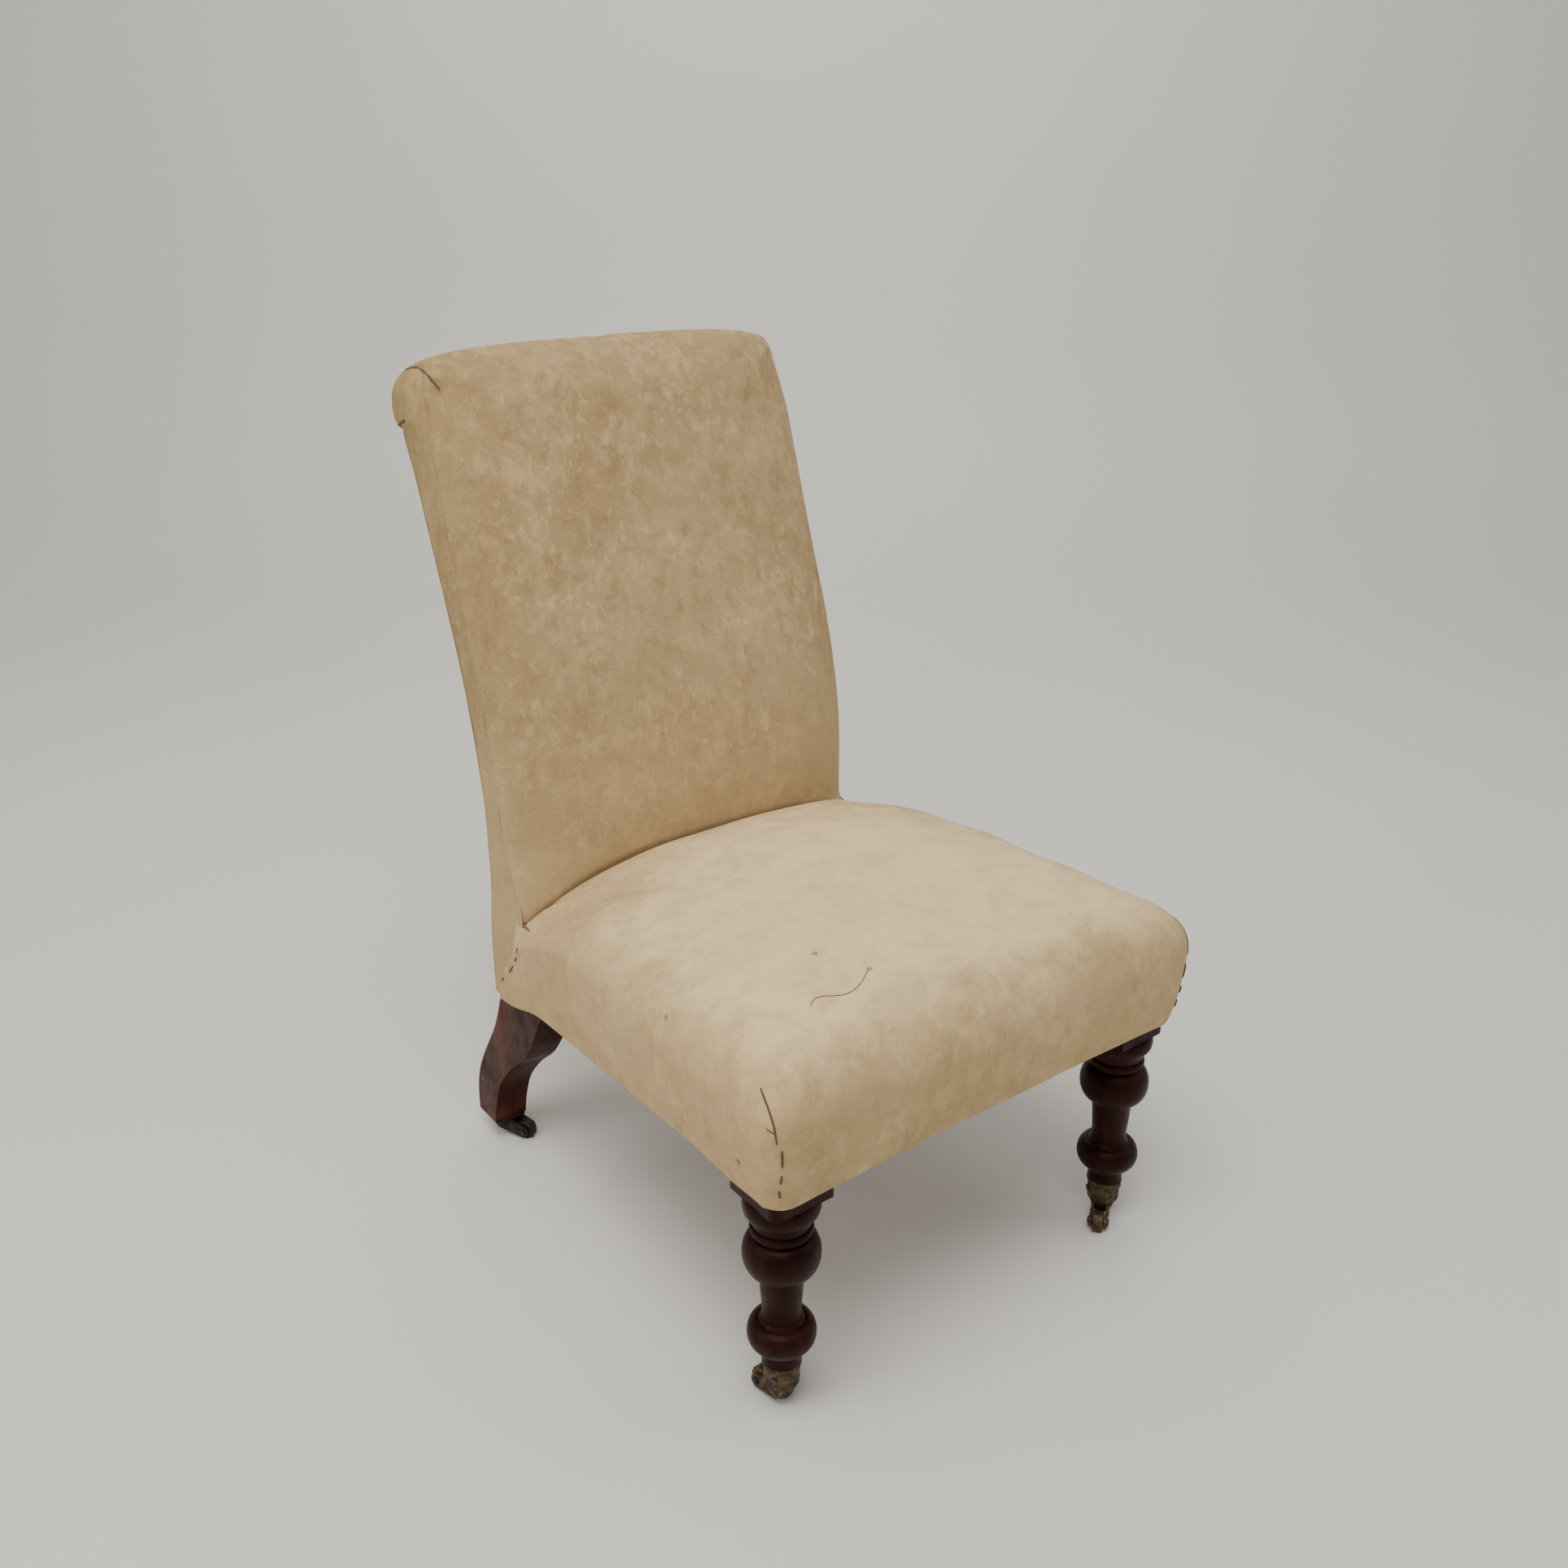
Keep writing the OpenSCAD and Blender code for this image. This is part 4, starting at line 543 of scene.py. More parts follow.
back = {
    "half": 0.221, "power": 3.5, "crown": 0.040, "seamY": 0.4626, "rearY": 0.4978,
    "hem": 0.1975, "low": 0.284, "bendZ": 0.380, "bendH": 0.200, "rake": math.radians(20),
    "rollY": 0.58742, "rollZ": 0.812, "rollUnder": 0.036, "rollFoot": 0.782,
    "seamTop": 0.8243, "middleTop": 0.8289,  # where the straight rows meet the roll
    # Reach of the roll to front, rear and top, at the seam and in the middle
    "seamRoll": (0.010, 0.0440, 0.0330), "middleRoll": (0.051, 0.0450, 0.0495),
    "rollFrom": 20, "rollTo": 225, "rows": 60, "columns": 44,
    # How far the seam comes forward at the seat, from which height and over what height
    "nearFlare": (0.034, 0.303, 0.085), "farFlare": (0.024, 0.306, 0.026), "tension": 0.0035}


# How far the raked back has leaned at height z: upright, an arc, then straight.
def backShift(z):
    rise = z - back["bendZ"]
    radius = back["bendH"] / math.sin(back["rake"])
    if rise < 0:
        return 0.0
    if rise < back["bendH"]:
        return radius - math.sqrt(radius * radius - rise ** 2)
    return (radius * (1 - math.cos(back["rake"]))
            + (rise - back["bendH"]) * math.tan(back["rake"]))


# Where the seat's top meets the inside back.
def backFaceY(x):
    across = min(abs(x) / back["half"], 1) ** back["power"]
    return back["seamY"] - back["crown"] * math.sqrt(max(0.0, 1 - across))


# Half the seat's width at y.
def seatHalf(y):
    narrowing = seat["frontHalf"] - seat["rearHalf"]
    return seat["frontHalf"] - narrowing * (y - seat["frontY"]) / (seat["rearY"] - seat["frontY"])


# Points of an arc from angle a0 to a1, in degrees.
def arc(cx, cy, r, a0, a1, steps):
    return [(cx + r * math.cos(math.radians(mix(a0, a1, i / steps))),
             cy + r * math.sin(math.radians(mix(a0, a1, i / steps)))) for i in range(steps + 1)]


# Points at even steps along a path, count steps in all.
def evenly(path, count):
    path = [Vector(p) for p in path]
    ends = [0.0]
    for a, b in zip(path, path[1:]):
        ends.append(ends[-1] + (b - a).length)
    made = []
    k = 0
    for i in range(count + 1):
        want = ends[-1] * i / count
        while k < len(ends) - 2 and ends[k + 1] < want:
            k += 1
        share = (want - ends[k]) / max(ends[k + 1] - ends[k], 1e-12)
        made.append(tuple(path[k].lerp(path[k + 1], share)))
    return made


# Seat upholstery
# The four sides of the seat's outline, each between the middles of two corners.
def seatSides():
    r, q = seat["cornerR"], seat["rearR"]
    creaseHalf, creaseSteps = 0.2155, 40
    cy = seat["frontY"] + r
    cx = seatHalf(cy) - r
    ry = seat["rearY"] - q
    rx = seatHalf(ry) - q
    front = [(0, seat["frontY"])] + arc(cx, cy, r, -90, -45, 12)
    side = arc(cx, cy, r, -45, 0, 12) + arc(rx, ry, q, 0, 45, 8)
    rear = arc(rx, ry, q, 45, 90, 8)
    for i in range(creaseSteps + 1):
        x = creaseHalf - creaseHalf * i / creaseSteps
        rear.append((x, min(backFaceY(x) - 0.0004, seat["rearY"])))
    flip = lambda path: [(-x, y) for x, y in path]
    return [flip(front)[::-1] + front[1:], side, rear + flip(rear)[::-1][1:], flip(side)[::-1]]


sidePaths = seatSides()


# Height of the line where the seat's top turns into its sides.
def shoulderZ(x, y):
    rear = min(max((y - 0.300) / 0.145, 0), 1) ** 2
    out = min(abs(x) / seat["rearHalf"], 1)
    drop = seat["nearDrop"] if x < 0 else seat["farDrop"]
    z = seat["shoulder"] + rear * (seat["rearLift"] * (1 - out * out) - drop * out ** 4)
    overHead = ease((0.2335 - abs(x)) / 0.008) * ease((y - 0.395) / 0.02)
    return mix(z, max(z, seat["ledge"]), overHead)


# Height of the top where the outline point (x, y) is drawn in to share s of its way.
def domeZ(x, y, s):
    low = shoulderZ(x, y)
    power = 5 - 2.7 * ease((y - 0.020) / 0.400)
    corner = ease((abs(x) - 0.050) / 0.170) * ease((y - 0.230) / 0.190)
    root = 0.5 + (seat["nearRound"] if x < 0 else seat["farRound"]) * corner
    return low + (seat["crown"] - low) * max(0.0, 1 - s ** power) ** root


# The top cloth passes over the heads of the back legs.
def overLegHead(x, y, z):
    share = ease((0.2295 - abs(x)) / 0.006) * ease((y - 0.388) / 0.018)
    return mix(z, max(z, seat["legHeadTop"]), share)


# The hem falls toward the back, and faster where it becomes the flap over the leg.
def hemLow(y):
    return (seat["hem"] - seat["hemSlope"] * max(y - 0.082, 0)
            - seat["flapSlope"] * max(y - 0.400, 0))


# How far the rear edge of the side has gone back, from shoulder to hem
flapCurve = [(0, 0), (0.12, 0.06), (0.24, 0.22), (0.41, 0.45),
             (0.60, 0.76), (0.72, 0.87), (0.88, 0.95), (1, 1)]


# The value of a table at t, half eased between its points.
def along(table, t):
    for (a, va), (b, vb) in zip(table, table[1:]):
        if t <= b:
            share = (t - a) / (b - a)
            return mix(va, vb, ease(share) * 0.5 + share * 0.5)
    return table[-1][1]


# A point of the seat's wall below outline point (x, y), from shoulder (0) to hem (1).
def wallPoint(x, y, w):
    side = math.copysign(1, x)
    top = shoulderZ(x, y)
    onFront = ease((-0.020 - y) / 0.016)
    rear = ease((y - 0.330) / 0.1105)
    yw = y + seat["flapShift"] * rear * along(flapCurve, w)
    frontHem = seat["hem"] + seat["hemRise"] * (1 - 0.5 * (x / seat["frontHalf"]) ** 2)
    hem = mix(hemLow(y + seat["flapShift"] * rear), frontHem, ease((0.035 - y) / 0.055))
    # The side is drawn in at the hem, less toward the back
    tuck = seat["tuck"] * (1 - math.sin(math.pi / 2 * (1 - w))) * (1 - ease((y - 0.36) / 0.07))
    pull = ease((y - 0.385) / 0.055)
    sideShare = min(1, abs(x) / seat["rearHalf"] * 1.1) ** 2
    half = abs(x) + (seatHalf(yw) - seatHalf(y)) * sideShare - tuck * sideShare
    drawnIn = mix(0.2318, seat["flapX"], ease(w * 2.2))
    half = mix(half, min(half, drawnIn), pull)
    return (side * half, yw + tuck * onFront, mix(top, hem, w))


# The top: rings round a centre point, each of four sides with 2 * k steps.
def seatTop():
    centreY = seat["centreY"]
    count = seat["rings"]
    points = [(0.0, centreY, domeZ(0, centreY, 0))]
    rings = [[0]]
    faces = []
    for k in range(1, count + 1):
        s = 1 - (1 - k / count) ** 1.6  # closer together near the rim
        ring = []
        for path in sidePaths:
            for x, y in evenly(path, 2 * k)[:-1]:
                ring.append(len(points))
                px, py = x * s, centreY + (y - centreY) * s
                points.append((px, py, overLegHead(px, py, domeZ(x, y, s))))
        rings.append(ring)
    for k in range(1, count + 1):
        outer, inner = rings[k], rings[k - 1]
        for side in range(4):
            a, b = side * 2 * k, side * 2 * (k - 1)
            faces.append((outer[a - 1], outer[a], outer[a + 1], inner[b % len(inner)]))
            for j in range(1, 2 * k - 1):
                faces.append((outer[a + j], outer[a + j + 1],
                              inner[(b + j) % len(inner)], inner[b + j - 1]))
    return points, faces, rings


# The whole cover of the seat, with how firmly each point is held for the cloth.
def seatMesh():
    points, faces, rings = seatTop()
    count = seat["rings"]
    sideSteps = 2 * count
    wallSteps = 3 * sideSteps
    rim = rings[-1]
    pinned = {}

    # Join a row of new points to the last row.
    def addRow(last, spots, hold, flip=False):
        row = list(range(len(points), len(points) + len(spots)))
        points.extend(spots)
        for at in row:
            pinned[at] = hold
        for quad in zip(last, row, row[1:], last[1:]):
            faces.append(quad[::-1] if flip else quad)
        return row

    # The wall runs from the rear right corner round the front to the rear left corner
    walls = [[rim[(wallSteps + j) % len(rim)] for j in range(wallSteps + 1)]]
    for i in range(1, seat["wallRows"] + 1):
        w = i / seat["wallRows"]
        spots = [wallPoint(points[at][0], points[at][1], w) for at in walls[0]]
        walls.append(addRow(walls[-1], spots, ease((w - 0.72) / 0.28)))
    # Hem, turned in under the edge
    last = walls[-1]
    for inset, rise in seat["hemFold"]:
        spots = []
        for x, y, z in [points[at] for at in walls[-1]]:
            onFront = ease((0.012 - y) / 0.03) if abs(x) > 0.22 else 1.0
            sideways = min(1, (abs(x) / 0.235) ** 8)
            spots.append((x - math.copysign(inset, x) * sideways,
                          y + inset * onFront * (y < 0.05), z + rise))
        last = addRow(last, spots, 1.0)
    # Rear ends of the wall, turned in to the back's cloth
    for end in (0, wallSteps):
        line = [row[end] for row in walls]
        last = line
        for rearward, inward in seat["endFold"]:
            spots = []
            for x, y, z in [points[at] for at in line]:
                reach = max(abs(x) - 0.2258, 0.0006)
                spots.append((x - math.copysign(min(inward * 1.2, reach), x), y + rearward, z))
            last = addRow(last, spots, 1.0, flip=end > 0)
    for row in walls:
        for j, at in enumerate(row):
            edge = min(j, wallSteps - j)
            pinned[at] = max(pinned.get(at, 0.0), 1 - ease(edge / 7))
    # Rear edge of the top, turned down into the crease
    crease = [rim[(2 * sideSteps + j) % len(rim)] for j in range(sideSteps + 1)]
    last = crease
    for drop in seat["creaseDrops"]:
        spots = [(x, y, max(z - drop, min(z, seat["ledge"] - 0.0005)))
                 for x, y, z in [points[at] for at in crease]]
        last = addRow(last, spots, 1.0)
    for at in crease:
        pinned[at] = 1.0
    for k in (count - 1, count - 2, count - 3):
        for at in rings[k][4 * k:6 * k + 1]:
            pinned[at] = max(pinned.get(at, 0), 0.8 - 0.2 * (count - k))
    return points, faces, [pinned.get(i, 0.0) for i in range(len(points))]


seatPoints, seatFaces, seatHold = seatMesh()
seatPiece = makeMesh("seat_upholstery", seatPoints, seatFaces, seatClothLit)
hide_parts("seat_cover", "seat_stuffing")
# The solver leaves this mesh as it is: three edges at the ends of the crease have no length
plump(seatPiece, seatHold, seat["tension"], pressure=3.2)


# Where the top and the sides of the seat are uneven: not near the crease, rim or hem.
def topShare(p):
    y = p[1] - rowY
    beforeCrease = ease((0.425 - y - 0.10 * (abs(p[0]) / 0.24) ** 2) / 0.06)
    return ease((p[2] - 0.30) / 0.05) * beforeCrease


def sideShare(p):
    aboveHem = ease((p[2] - 0.235) / 0.03)
    return aboveHem * ease((0.37 - p[2]) / 0.05) * ease((0.42 - (p[1] - rowY)) / 0.06)


wrinkle(seatPiece, [(0.085, 0.0032, topShare), (0.030, 0.0008, topShare), (0.045, 0.0022, sideShare)])
addModifier(seatPiece, "SUBSURF", levels=1, render_levels=1)
freeze(seatPiece)
say("seat")


# Inside back and roll
# A point of the roll's side view at an angle, with its reach to front, rear and top.
def rollPoint(angle, front, rear, up):
    a = math.radians(angle)
    wide = front if math.cos(a) > 0 else rear
    tall = up if math.sin(a) > 0 else back["rollUnder"]
    return (back["rollY"] - wide * math.cos(a), back["rollZ"] + tall * math.sin(a))


# The seam below the roll leans back a little less towards the top, to meet the roll smoothly.
def straightY(z):
    lean = 0.0030 * ease((z - 0.42) / 0.12) - 0.0118 * ease((z - 0.57) / 0.25)
    return back["seamY"] + backShift(z) + lean


# How far the seam comes forward at the seat, more on the near side.
def creaseFlare(x, z):
    reach, foot, height = back["nearFlare"] if x < 0 else back["farFlare"]
    return reach * (1 - ease((z - foot) / height))


# The rear edge of the sides, which turns out under the roll.
def rearEdge(z):
    out = 0.0040 * ease((z - 0.40) / 0.12) + 0.0050 * ease((z - 0.735) / 0.045)
    return back["rearY"] + backShift(z) + out


# Height of straight row i on the seam, and angle of a row on the roll.
def rowHeight(i, top):
    return mix(back["low"], top, i / back["rows"])


def rowAngle(i):
    return mix(back["rollFrom"], back["rollTo"], (i - back["rows"]) / back["rows"])


# How far the seam is drawn in over the ends of the roll, for row i.
def rollPull(i):
    if i <= back["rows"]:
        z = rowHeight(i, back["seamTop"])
        return 0.0035 * ease((z - 0.56) / 0.20) + 0.0065 * ease((z - 0.760) / 0.070)
    angle = rowAngle(i)
    over = 0.0090 + 0.0050 * ease((angle - 20) / 60)
    return 0.0010 + over * ease((170 - angle) / 80)


# Side-view paths of the seam and of the middle of the inside back, over the roll.
def backPaths():
    seamPath, middlePath = [], []
    for i in range(back["rows"] + 1):
        z = rowHeight(i, back["seamTop"])
        seamPath.append((straightY(z), z))
        z = rowHeight(i, back["middleTop"])
        middlePath.append((straightY(z) - back["crown"], z))
    for i in range(back["rows"] + 1, 2 * back["rows"] + 1):
        seamPath.append(rollPoint(rowAngle(i), *back["seamRoll"]))
        middlePath.append(rollPoint(rowAngle(i), *back["middleRoll"]))
    end = (rearEdge(back["rollFoot"]) + 0.0008, back["rollFoot"] + 0.002)
    return seamPath + [end], middlePath + [end]


seamPath, middlePath = backPaths()


# The inside back and the roll's cover, with two narrow turns behind each seam.
def backMesh():
    half, rows = back["columns"], len(seamPath)
    columns = 2 * half + 1 + 4
    points, hold = [], []
    for i in range(rows):
        sy, sz = seamPath[i]
        my, mz = middlePath[i]
        line = []
        wide = back["half"] - rollPull(i)
        for k in range(-half, half + 1):
            x = wide * math.sin(math.pi / 2 * k / half)
            c = math.sqrt(max(0.0, 1 - (abs(x) / wide) ** back["power"]))
            line.append((x, mix(sy - creaseFlare(x, sz), my, c), mix(sz, mz, c)))
        # The way from the middle to the seam, which the turns follow
        away = Vector((sy - my, sz - mz))
        away = away.normalized() if away.length > 1e-6 else Vector((0, 0))
        for step in (0.0015, 0.0045):
            edge = wide - 0.0002 - step * 0.05
            line.insert(0, (-edge, sy - creaseFlare(-1, sz) + away.x * step, sz + away.y * step))
            line.append((edge, sy - creaseFlare(1, sz) + away.x * step, sz + away.y * step))
        points.extend(line)
        fromEnd = min(i, rows - 1 - i)
        for k in range(columns):
            fromSeam = min(k, columns - 1 - k) - 2
            hold.append(max(1 - ease(fromSeam / 7), 1 - ease(fromEnd / 6)))
    return points, gridFaces(rows, columns), hold


backPoints, backFaces, backHold = backMesh()
backPiece = makeMesh("back_upholstery", backPoints, backFaces, backCloth)
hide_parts("inside_back_cover", "back_stuffing", "top_roll_stuffing")
plump(backPiece, backHold, back["tension"], pressure=2.4)


# Where the inside back is uneven: less on the roll.
def faceShare(p):
    onRoll = ease((p[2] - 0.74) / 0.06)
    return ease((0.21 - abs(p[0])) / 0.06) * ease((p[2] - 0.40) / 0.06) * (1 - 0.75 * onRoll)


wrinkle(backPiece, [(0.12, 0.0026, faceShare), (0.035, 0.0006, faceShare)])
addModifier(backPiece, "SUBSURF", levels=1, render_levels=1)
freeze(backPiece)
say("inside back")


# Back sides, each with the round end of the roll
sides = {"half": 0.2207, "columns": 12, "lowRows": 13, "rearIn": 0.0028, "dome": 0.0042}


def sideSheet(sign):
    columns = sides["columns"]
    rearTop = (rearEdge(back["rollFoot"]) - sides["rearIn"], back["rollFoot"] + 0.0015)
    rows = []  # front point, rear point and how far the front is drawn in
    for i in range(sides["lowRows"]):
        z = mix(back["hem"], back["low"], i / sides["lowRows"])
        front = mix(0.488, 0.436, ease((z - 0.19) / 0.09)) - 0.010
        rows.append(((front, z), (0.4950, z), 0.0))
    for i, (y, z) in enumerate(seamPath[:-1]):
        y -= creaseFlare(sign, z)
        onRoll = z >= rearTop[1] or i >= back["rows"] + 10
        rear = rearTop if onRoll else (rearEdge(z) - sides["rearIn"], z)
        front = mix(0.427, y, ease((z - 0.300) / 0.03)) if z < 0.33 else y
        rows.append(((front, z), rear, rollPull(i)))
    points = []
    for (y0, z0), (y1, z1), pull in rows:
        for k in range(columns + 1):
            t = k / columns
            share = 1 - (1 - t) ** 1.25
            y, z = mix(y0, y1, share), mix(z0, z1, share)
            dome = sides["dome"] * (4 * t * (1 - t)) ** 0.6 * ease((z0 - 0.775) / 0.03)
            flare = (0.0056 * (1 - ease((z - 0.262) / 0.075))
                     + 0.0009 * (1 - ease((z - 0.198) / 0.02)))
            x = sides["half"] + dome + flare - pull * max(0.0, 1 - t / 0.4) ** 2
            points.append((sign * x, y, z))
    return points, gridFaces(len(rows), columns + 1, flip=sign > 0)


for sideName, sign in bothSides:
    points, faces = sideSheet(sign)
    piece = makeMesh("back_side_" + sideName, points, faces, backCloth)
    addModifier(piece, "SUBSURF", levels=1, render_levels=1)
    freeze(piece)
    wrinkle(piece, [(0.05, 0.0012, None)])
    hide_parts("back_facing_" + sideName)
    cut = sum(f.area for f in piece.data.polygons)
    say("back side %s, %.4f m2" % (sideName, cut))


# Outside back
outside = {
    "half": 0.2212, "footHalf": 0.2264, "top": 0.783,
    "archZ": 0.2405,  # height of its foot between the legs
    "columns": 60, "rows": 84, "swell": 0.0008, "sag": 0.0016, "turn": 0.0022}


def outsideBack():
    columns, rows = outside["columns"], outside["rows"]
    points = []
    for i in range(rows + 1):
        t = i / rows
        for k in range(columns + 1):
            u = -1 + 2 * k / columns
            arch = ease((0.186 - abs(u) * 0.2262) / 0.012 + 0.5)
            z = mix(mix(back["hem"], outside["archZ"], arch), outside["top"], t)
            half = mix(outside["footHalf"], outside["half"], ease((z - 0.262) / 0.075))
            swell = outside["swell"] * (1 - max(abs(u) ** 18, (2 * t - 1) ** 18))
            sag = outside["sag"] * math.sin(math.pi * t) * (1 - u * u)
            turn = outside["turn"] * abs(u) ** 26
            points.append((u * half, rearEdge(z) + 0.0001 + swell - sag - turn, z))
    return points, gridFaces(rows + 1, columns + 1, flip=True)


points, faces = outsideBack()
outsidePiece = makeMesh("outside_back", points, faces, rearCloth)
wrinkle(outsidePiece, [(0.12, 0.0012, None), (0.03, 0.0004, None)])
addModifier(outsidePiece, "SUBSURF", levels=1, render_levels=1)
freeze(outsidePiece)
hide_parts("outside_back_cover")
outsideArea = sum(f.area for f in outsidePiece.data.polygons)
say("outside back, %.4f m2" % outsideArea)


# Stitches and the loose thread
def threadLook(name, light, dark):
    s = Shader(name)
    twist = s.node("TexWave", {"Vector": s.coords, "Scale": 420.0, "Distortion": 1.0},
                   bands_direction="DIAGONAL").outputs["Fac"]
    colour = s.blend(s.remap(twist, 0.2, 0.8), linear(dark), linear(light))
    colour = s.blend(s.remap(s.noise(90, 3), 0.45, 0.7, 0.0, 0.4), colour, linear([70, 54, 36]))
    s.bump([(twist, 0.5, 0.0003)])
    return s.finish(colour, s.remap(twist, 0.0, 1.0, 0.75, 0.95), Sheen_Weight=0.1)


stitchThread = threadLook("stitch_thread", [104, 84, 56], [66, 50, 32])


# A search tree of a piece's surface, moved by rowY like the piece.
def shapeOf(piece):
    mesh = piece.data
    corners = [tuple(f.vertices) for f in mesh.polygons]
    return BVHTree.FromPolygons([v.co for v in mesh.vertices], corners)


seatShape = shapeOf(seatPiece)


# A smooth curve through a few points.
def smooth(points, steps=8):
    points = [Vector(p) for p in points[:1] + points + points[-1:]]
    made = []
    for a, b, c, d in zip(points, points[1:], points[2:], points[3:]):
        for k in range(steps):
            t = k / steps
            bend = (a * 2 - b * 5 + c * 4 - d) + (b * 3 - a - c * 3 + d) * t
            made.append(b + ((c - a) + bend * t) * t * 0.5)
    return made + [points[-1]]


# The nearest point of a surface, lifted off it, away from the piece's centre.
def onSurface(shape, centre, point, lift):
    spot, normal, _, _ = shape.find_nearest(Vector(rowPoint(*point)))
    if normal.dot(spot - Vector(rowPoint(*centre))) < 0:
        normal = -normal
    spot = spot + normal * lift
    return (spot.x, spot.y - rowY, spot.z)


# A path laid on a surface, a little above it in the middle and let in at its ends.
def laid(shape, centre, path, lift, count):
    return [onSurface(shape, centre, q, lift * (4 * i * (count - i) / count ** 2) ** 0.5 - 0.0001)
            for i, q in enumerate(evenly(path, count))]


# Seams on the sitter's right side, each with its few points; the left side mirrors them.
seams = {
    "corner": [[(-0.244, -0.016, 0.356), (-0.248, -0.031, 0.347), (-0.249, -0.040, 0.335),
                (-0.2485, -0.043, 0.320)]],
    "branch": [[(-0.2535, -0.0355, 0.333), (-0.249, -0.042, 0.329)]],
    "cornerStitches": [
        [(-0.245, -0.045, 0.3135), (-0.244, -0.044, 0.2965)],
        [(-0.244, -0.0435, 0.288), (-0.244, -0.0415, 0.279)],
        [(-0.244, -0.0395, 0.271), (-0.242, -0.0385, 0.2625)]],
    "flapStitches": [
        [(-0.218, 0.427, 0.306), (-0.2195, 0.426, 0.3035)],
        [(-0.2365, 0.412, 0.289), (-0.2385, 0.4105, 0.286)],
        [(-0.2325, 0.427, 0.2695), (-0.2315, 0.4315, 0.263)],
        [(-0.2295, 0.442, 0.252), (-0.228, 0.4555, 0.238)],
        [(-0.2275, 0.471, 0.224), (-0.227, 0.477, 0.2175)]],
    "roll": [[(-0.2115, 0.614, 0.8395), (-0.209, 0.605, 0.842), (-0.208, 0.590, 0.843),
              (-0.2065, 0.575, 0.838), (-0.2005, 0.562, 0.825)]],
    "tuck": [[(-0.223, 0.616, 0.787), (-0.2245, 0.596, 0.794)]]}
loosePath = [(-0.170, 0.016, 0.387), (-0.157, 0.0225, 0.387), (-0.133, 0.0155, 0.387),
             (-0.114, 0.0195, 0.387), (-0.093, 0.033, 0.387)]
seatCentre = (0, seat["centreY"], 0.30)
rollCentre = (0, 0.60, 0.81)
farRollSteps = 18  # the far side shows only this much of the roll's seam

# Name, part of seams, piece it lies on, lift, steps and radius
sewnThreads = [
    ("corner_seam_", "corner", "seat", 0.0003, 40, 0.0008),
    # Painted shade: a thin dark thread stands for the shade in a small crease at the front corner
    ("corner_crease_shade_", "branch", "seat", 0.0003, 10, 0.0004),
    ("corner_stitches_", "cornerStitches", "seat", 0.0007, 8, 0.00095),
    ("flap_stitches_", "flapStitches", "seat", 0.0007, 8, 0.00085),
    # A dark seam thread that also stands as painted shade for the seam's groove
    ("roll_seam_and_shade_", "roll", "", 0.0, 40, 0.00085),  # lies on its own points
    # Painted shade: a thick dark thread stands for the shaded notch where the roll's end is tucked
    ("roll_tuck_shade_", "tuck", "side", 0.0003, 14, 0.0015)]
for sideName, sign in bothSides:
    surfaces = {"seat": (seatShape, seatCentre),
                "side": (shapeOf(bpy.data.objects["back_side_" + sideName]), rollCentre)}
    for threadName, kind, under, lift, steps, radius in sewnThreads:
        paths = [smooth([(-sign * x, y, z) for x, y, z in path]) for path in seams[kind]]
        if under:
            drawn = [laid(*surfaces[under], path, lift, steps) for path in paths]
        else:
            drawn = [evenly(paths[0] if sign < 0 else paths[0][:farRollSteps], steps)]
        makeThreads(threadName + sideName, drawn, radius, stitchThread)
loose = [onSurface(seatShape, seatCentre, q, 0.0003) for q in evenly(smooth(loosePath), 26)]
makeThreads("loose_thread", [loose], 0.00032, stitchThread)
say("stitches")


# Floor, backdrop and light
def stageLook(name, colour, rough):
    s = Shader(name)
    tone = s.blend(s.remap(s.noise(0.7, 3), 0.3, 0.7),
                   linear(colour), linear([c * 0.985 for c in colour]))
    return s.finish(tone, rough)


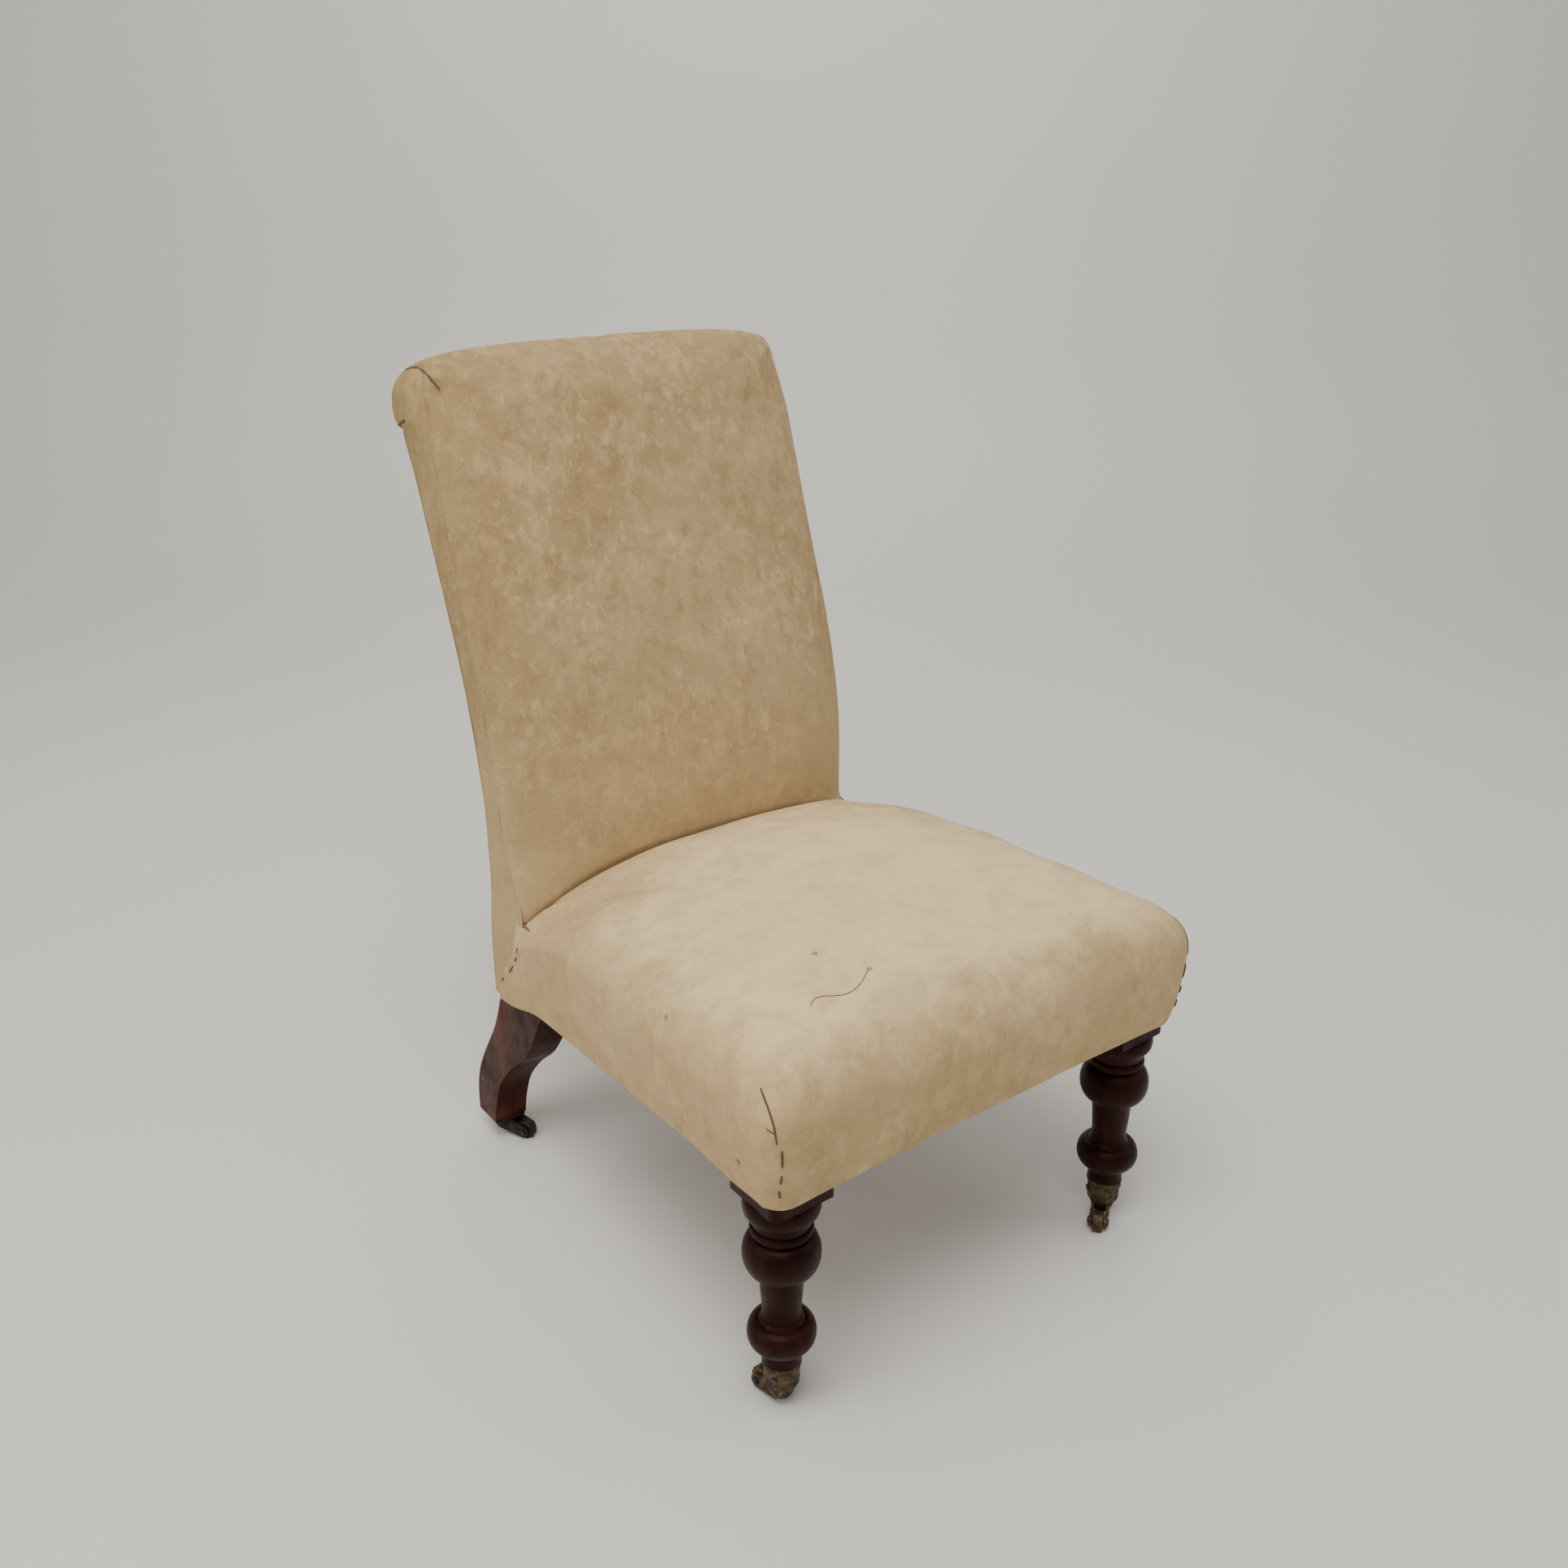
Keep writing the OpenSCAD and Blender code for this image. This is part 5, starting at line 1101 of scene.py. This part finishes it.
# The floor curves up into the backdrop: distance away from the camera, and height
stage = {
    "path": [(-3.2, 0.0), (2.0, 0.0), (2.5, 0.03), (2.85, 0.14), (3.08, 0.36), (3.2, 0.75),
             (3.22, 1.3), (3.22, 3.2)],
    "across": (-5.0, -2.5, 0.0, 2.5, 5.0), "colour": [222, 219, 213], "rough": 0.8,
    "sky": [236, 235, 233], "skyStrength": 0.5}
turnView = math.radians(camera["turn"])
stagePoints = []
for u in stage["across"]:
    for away, up in stage["path"]:
        stagePoints.append((u * math.cos(turnView) - away * math.sin(turnView),
                            u * math.sin(turnView) + away * math.cos(turnView), up))
stageMesh = bpy.data.meshes.new("pale_floor")
stageMesh.from_pydata(stagePoints, [], gridFaces(len(stage["across"]), len(stage["path"]), flip=True))
stageMesh.polygons.foreach_set("use_smooth", [True] * len(stageMesh.polygons))
stageFloor = bpy.data.objects.new("pale_floor", stageMesh)
bpy.context.collection.objects.link(stageFloor)
stageFloor.data.materials.append(stageLook("pale_stage", stage["colour"], stage["rough"]))
addModifier(stageFloor, "SUBSURF", levels=2, render_levels=2)

world = bpy.data.worlds.new("studio")
bpy.context.scene.world = world
world.use_nodes = True
sky = world.node_tree.nodes["Background"]
sky.inputs["Color"].default_value = linear(stage["sky"])
sky.inputs["Strength"].default_value = stage["skyStrength"]


def addLight(name, place, target, size, power, colour):
    data = bpy.data.lights.new(name, "AREA")
    data.shape = "RECTANGLE"
    data.size, data.size_y = size
    data.energy = power
    data.color = colour
    lamp = bpy.data.objects.new(name, data)
    lamp.location = place
    lamp.rotation_euler = (Vector(target) - Vector(place)).to_track_quat("-Z", "Y").to_euler()
    bpy.context.collection.objects.link(lamp)


addLight("key_light", (-0.9, -0.7, 3.0), (0, 0, 0.4), (1.8, 1.8), 80, (1.0, 0.985, 0.96))
addLight("fill_light", (2.3, -1.6, 1.9), (0, 0, 0.4), (2.0, 2.0), 12, (0.98, 0.98, 1.0))
addLight("side_light", (-2.6, 0.4, 1.6), (0, 0, 0.5), (1.6, 1.6), 18, (1.0, 0.99, 0.97))
addLight("wall_light", (0.9, 1.3, 2.8), (2.1, 2.9, 0.9), (1.6, 1.6), 26, (1.0, 0.99, 0.98))
say("stage and lights")
